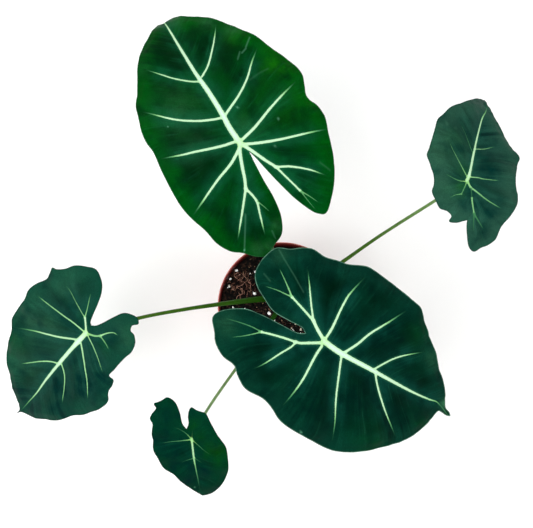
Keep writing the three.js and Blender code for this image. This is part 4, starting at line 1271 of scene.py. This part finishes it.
def grain_shape(shape, order, radius, stretch, squash, rough, turn):
    """A rough grain: a stretched, pitted ball, tilted and turned."""
    push = 1 + rough * noise_at(shape, 0.8, 3.0 * order) + 0.4 * rough * noise_at(shape, 0.3, 50 + order)
    grain = shape * push[:, None] * (radius * stretch, radius, radius * squash)
    return turned(grain, 0.2 * math.sin(order), turn)


def seat(x, y, radius):
    """The middle of a grain that lies in the mix at this place."""
    return np.array([x, y, soil_height(x, y) + SUNK * radius])


def add_perlite():
    """Porous white grains, each a piece of its own, and the small specks between them."""
    paint = tinted_paint("perlite_white", (170, 156, 128), (240, 238, 230), (255, 255, 254), 0.6, 0.2)
    shape, faces = ball(4)
    for i, (x, y, radius, white) in enumerate(PERLITE):
        grain = grain_shape(shape, i, 0.86 * radius, 1.3, 0.8, 0.28, math.radians(50 * i))
        name = f"{i + 1:02d}"
        add_piece(f"perlite_grain_{name}", grain + seat(x, y, radius), faces, [paint], "perlite",
                  [f"perlite_{name}"], tint=np.full(len(grain), white))
    draw = random.Random(3)
    shape, faces = ball(2)
    places = soil_places(draw, SPECKS["strewn"])
    places += soil_places(draw, SPECKS["heap"], SPECKS["heap_middle"], SPECKS["heap_reach"])
    specks = []
    for i, (x, y) in enumerate(places):
        radius = draw.uniform(*SPECKS["radius"])
        speck = grain_shape(shape, i, radius, 1.2, 0.8, 0.2, i)
        specks.append((speck + seat(x, y, radius) + (0, 0, 0.5), faces))
    points, faces, owner = merge(specks)
    add_piece("perlite_specks", points, faces, [paint], "perlite", tint=0.1 + 0.8 * (owner * 0.37 % 1))


def add_bark():
    """Flat chips of bark, layered and cracked along their length."""
    paint = tinted_paint("bark_brown", (36, 22, 16), (84, 54, 38), (134, 96, 70), 1.2, 0.2)
    shape, faces = ball(4)
    layers = 0.25 * np.sign(shape[:, 2]) * (np.abs(shape[:, 2]) ** 0.5)
    for i, (x, y, size, turn) in enumerate(BARK):
        boxy = np.sign(shape) * np.abs(shape) ** 0.7
        boxy[:, 2] += layers * noise_at(shape[:, :2] * (0.4, 1.6), 0.35, 20 + i)
        chip = grain_shape(boxy, i, size * 0.9, 1.7, 0.3, 0.1, math.radians(turn))
        add_piece(f"bark_piece_{i + 1}", chip + seat(x, y, size), faces, [paint], "bark",
                  [f"bark_chip_{i + 1}"], tint=0.5 + 0.4 * noise_at(shape * (0.4, 2, 1), 0.5, 9 + i))


# Crown

def add_corm():
    """The ringed, fibrous corm and the main roots that spread from it into the mix."""
    x, y, top, wide = CROWN["x"], CROWN["y"], CROWN["z"], CROWN["radius"]
    low = top - CROWN["depth"]
    profile = [(0, low), (6, low + 2), (11, low + 9), (13, low + 20), (12.4, low + 30), (wide, top - 3),
               (wide, top), (0, top)]
    points, faces = lathe(rounded(profile, 2.0, 1.0), CROWN["sides"], (x, y))
    out = points[:, :2] - (x, y)
    rings = 0.3 * np.abs(np.sin(points[:, 2] * 0.9)) + 0.5 * noise_at(points, 3, 5)
    reach = np.linalg.norm(out, axis=1, keepdims=True)
    points[:, :2] += out / np.maximum(reach, 1) * (rings[:, None] - 0.4) * np.clip(reach / 6, 0, 1)
    parts = [(points, faces)]
    for i in range(ROOTS["count"]):
        turn = math.radians(ROOTS["first"] + 360 / ROOTS["count"] * i)
        # Out and down into the mix, each root's bend a little lower than the last one's
        line = []
        for r, h in ((8, 74), (17, 66 - 2 * i), (25, 50), (29, 30), (28, 16)):
            swirl = turn + h / ROOTS["twist"]
            line.append((x + r * math.cos(swirl), y + r * math.sin(swirl), h))
        line = smooth(line, 1.5)
        radius = np.linspace(ROOTS["base"], ROOTS["tip"], len(line)) * (0.94 + 0.06 * noise_at(line, 5, i))
        parts.append(tube(line, radius, ROOTS["sides"]))
    points, faces, owner = merge(parts)
    tint = 0.35 + 0.3 * (owner > 0) + 0.25 * noise_at(points * (1, 1, 0.3), 1.5, 8)
    paint = tinted_paint("corm_skin", (50, 32, 20), (112, 76, 46), (176, 134, 92), 1.0, 0.25)
    add_piece("crown_corm", points, faces, [paint], "corm", ["corm"], tint=tint)


def add_sheath(order):
    """A dry, papery sheath leaf that hugs the crown and frays along its top."""
    at, tall = SHEATHS[order]
    columns = np.linspace(-1, 1, 17)
    frayed = columns**2 + 0.6 * np.abs(noise_at(columns[:, None] * 3, 1, 4 * order, 2))
    rows = []
    for t in np.linspace(0, 1, 26):
        turn = math.radians(at) + columns * math.radians(SHEATH["half_turn"]) * (1 - SHEATH["taper"] * t * t)
        z = CROWN["z"] - 0.2 + tall * t * (1 - 0.1 * t * frayed)
        folds = 0.2 * np.sin(columns * 9 + order) * (0.3 + t)
        out = CROWN["sheath_circle"] + SHEATH["lean"] * t * t + folds
        thick = SHEATH["half_thick"] * (1 - 0.6 * t)
        outer, inner = (np.stack([CROWN["x"] + reach * np.cos(turn), CROWN["y"] + reach * np.sin(turn), z], 1)
                        for reach in (out + thick, out - thick))
        rows.append(np.concatenate([outer, inner[::-1]]))
    points, faces = skin(np.array(rows))
    tint = 0.5 + 0.45 * noise_at(points * (1, 1, 0.12), 0.8, order)
    paint = tinted_paint(f"sheath_paper_{order + 1}", (84, 56, 34), (150, 116, 78), (196, 168, 124), 0.9, 0.2)
    add_piece(f"sheath_leaf_{order + 1}", points, faces, [paint], "cataphyll", [f"cataphyll_{order + 1}"],
              tint=tint)


add_pot()
add_soil()
add_crumbs()
add_fibres()
add_perlite()
add_bark()
add_corm()
for sheath_order in range(len(SHEATHS)):
    add_sheath(sheath_order)
for leaf_key in LEAVES:
    add_stalk(leaf_key)
    add_blade(leaf_key)


# Studio

CAMERA = {"place": (-0.0146, -0.1961, 1.5926), "tilt": 9.0, "lens": 107.7, "sensor": 36}
# Soft square lights: name, place in m, size and power
LIGHTS = [("key", (-1.3, 1.1, 2.3), 1.6, 29), ("fill", (1.5, -1.1, 2.2), 2.0, 28),
          ("top", (-0.6, -0.6, 2.4), 1.2, 36)]
LIT_POINT = (0, 0, 0.2)
FLOOR_REACH = 6.0
SKY = {"horizon": 1.0, "overhead": 0.2}


def add_camera():
    camera = add_object("camera", bpy.data.cameras.new("camera"))
    camera.data.lens = CAMERA["lens"]
    camera.data.sensor_width = CAMERA["sensor"]
    camera.location = CAMERA["place"]
    camera.rotation_euler = (math.radians(CAMERA["tilt"]), 0, 0)
    bpy.context.scene.camera = camera


def add_light(name, place, size, power):
    """A soft square light aimed at the middle of the plant."""
    light = bpy.data.lights.new(name, "AREA")
    light.size = size
    light.energy = power
    lamp = add_object(name, light)
    lamp.location = place
    lamp.rotation_euler = (Vector(LIT_POINT) - Vector(place)).to_track_quat("-Z", "Y").to_euler()


def add_floor():
    """A plain pale floor under the pot."""
    mesh = bpy.data.meshes.new("studio_floor")
    reach = FLOOR_REACH
    mesh.from_pydata([(-reach, -reach, 0), (reach, -reach, 0), (reach, reach, 0), (-reach, reach, 0)], [],
                     [(0, 1, 2, 3)])
    paint = Paint("studio_floor", Base_Color=srgb(250, 250, 250), Roughness=0.9, Specular_IOR_Level=0.1)
    mesh.materials.append(paint.material)
    ground = add_object("studio_floor", mesh)


def add_world():
    """A white sky, brightest at the horizon and dimmer towards straight up."""
    world = bpy.data.worlds.new("studio")
    bpy.context.scene.world = world
    world.use_nodes = True
    nodes, links = world.node_tree.nodes, world.node_tree.links
    background = nodes["Background"]
    background.inputs["Color"].default_value = (1.0, 1.0, 1.0, 1.0)
    way = nodes.new("ShaderNodeSeparateXYZ")
    links.new(nodes.new("ShaderNodeTexCoord").outputs["Generated"], way.inputs[0])
    dim = nodes.new("ShaderNodeMapRange")
    links.new(way.outputs["Z"], dim.inputs["Value"])
    dim.inputs["To Min"].default_value = SKY["horizon"]
    dim.inputs["To Max"].default_value = SKY["overhead"]
    links.new(dim.outputs[0], background.inputs["Strength"])


add_camera()
for name, place, size, power in LIGHTS:
    add_light(name, place, size, power)
add_floor()
add_world()
bpy.context.scene.view_settings.view_transform = "Standard"
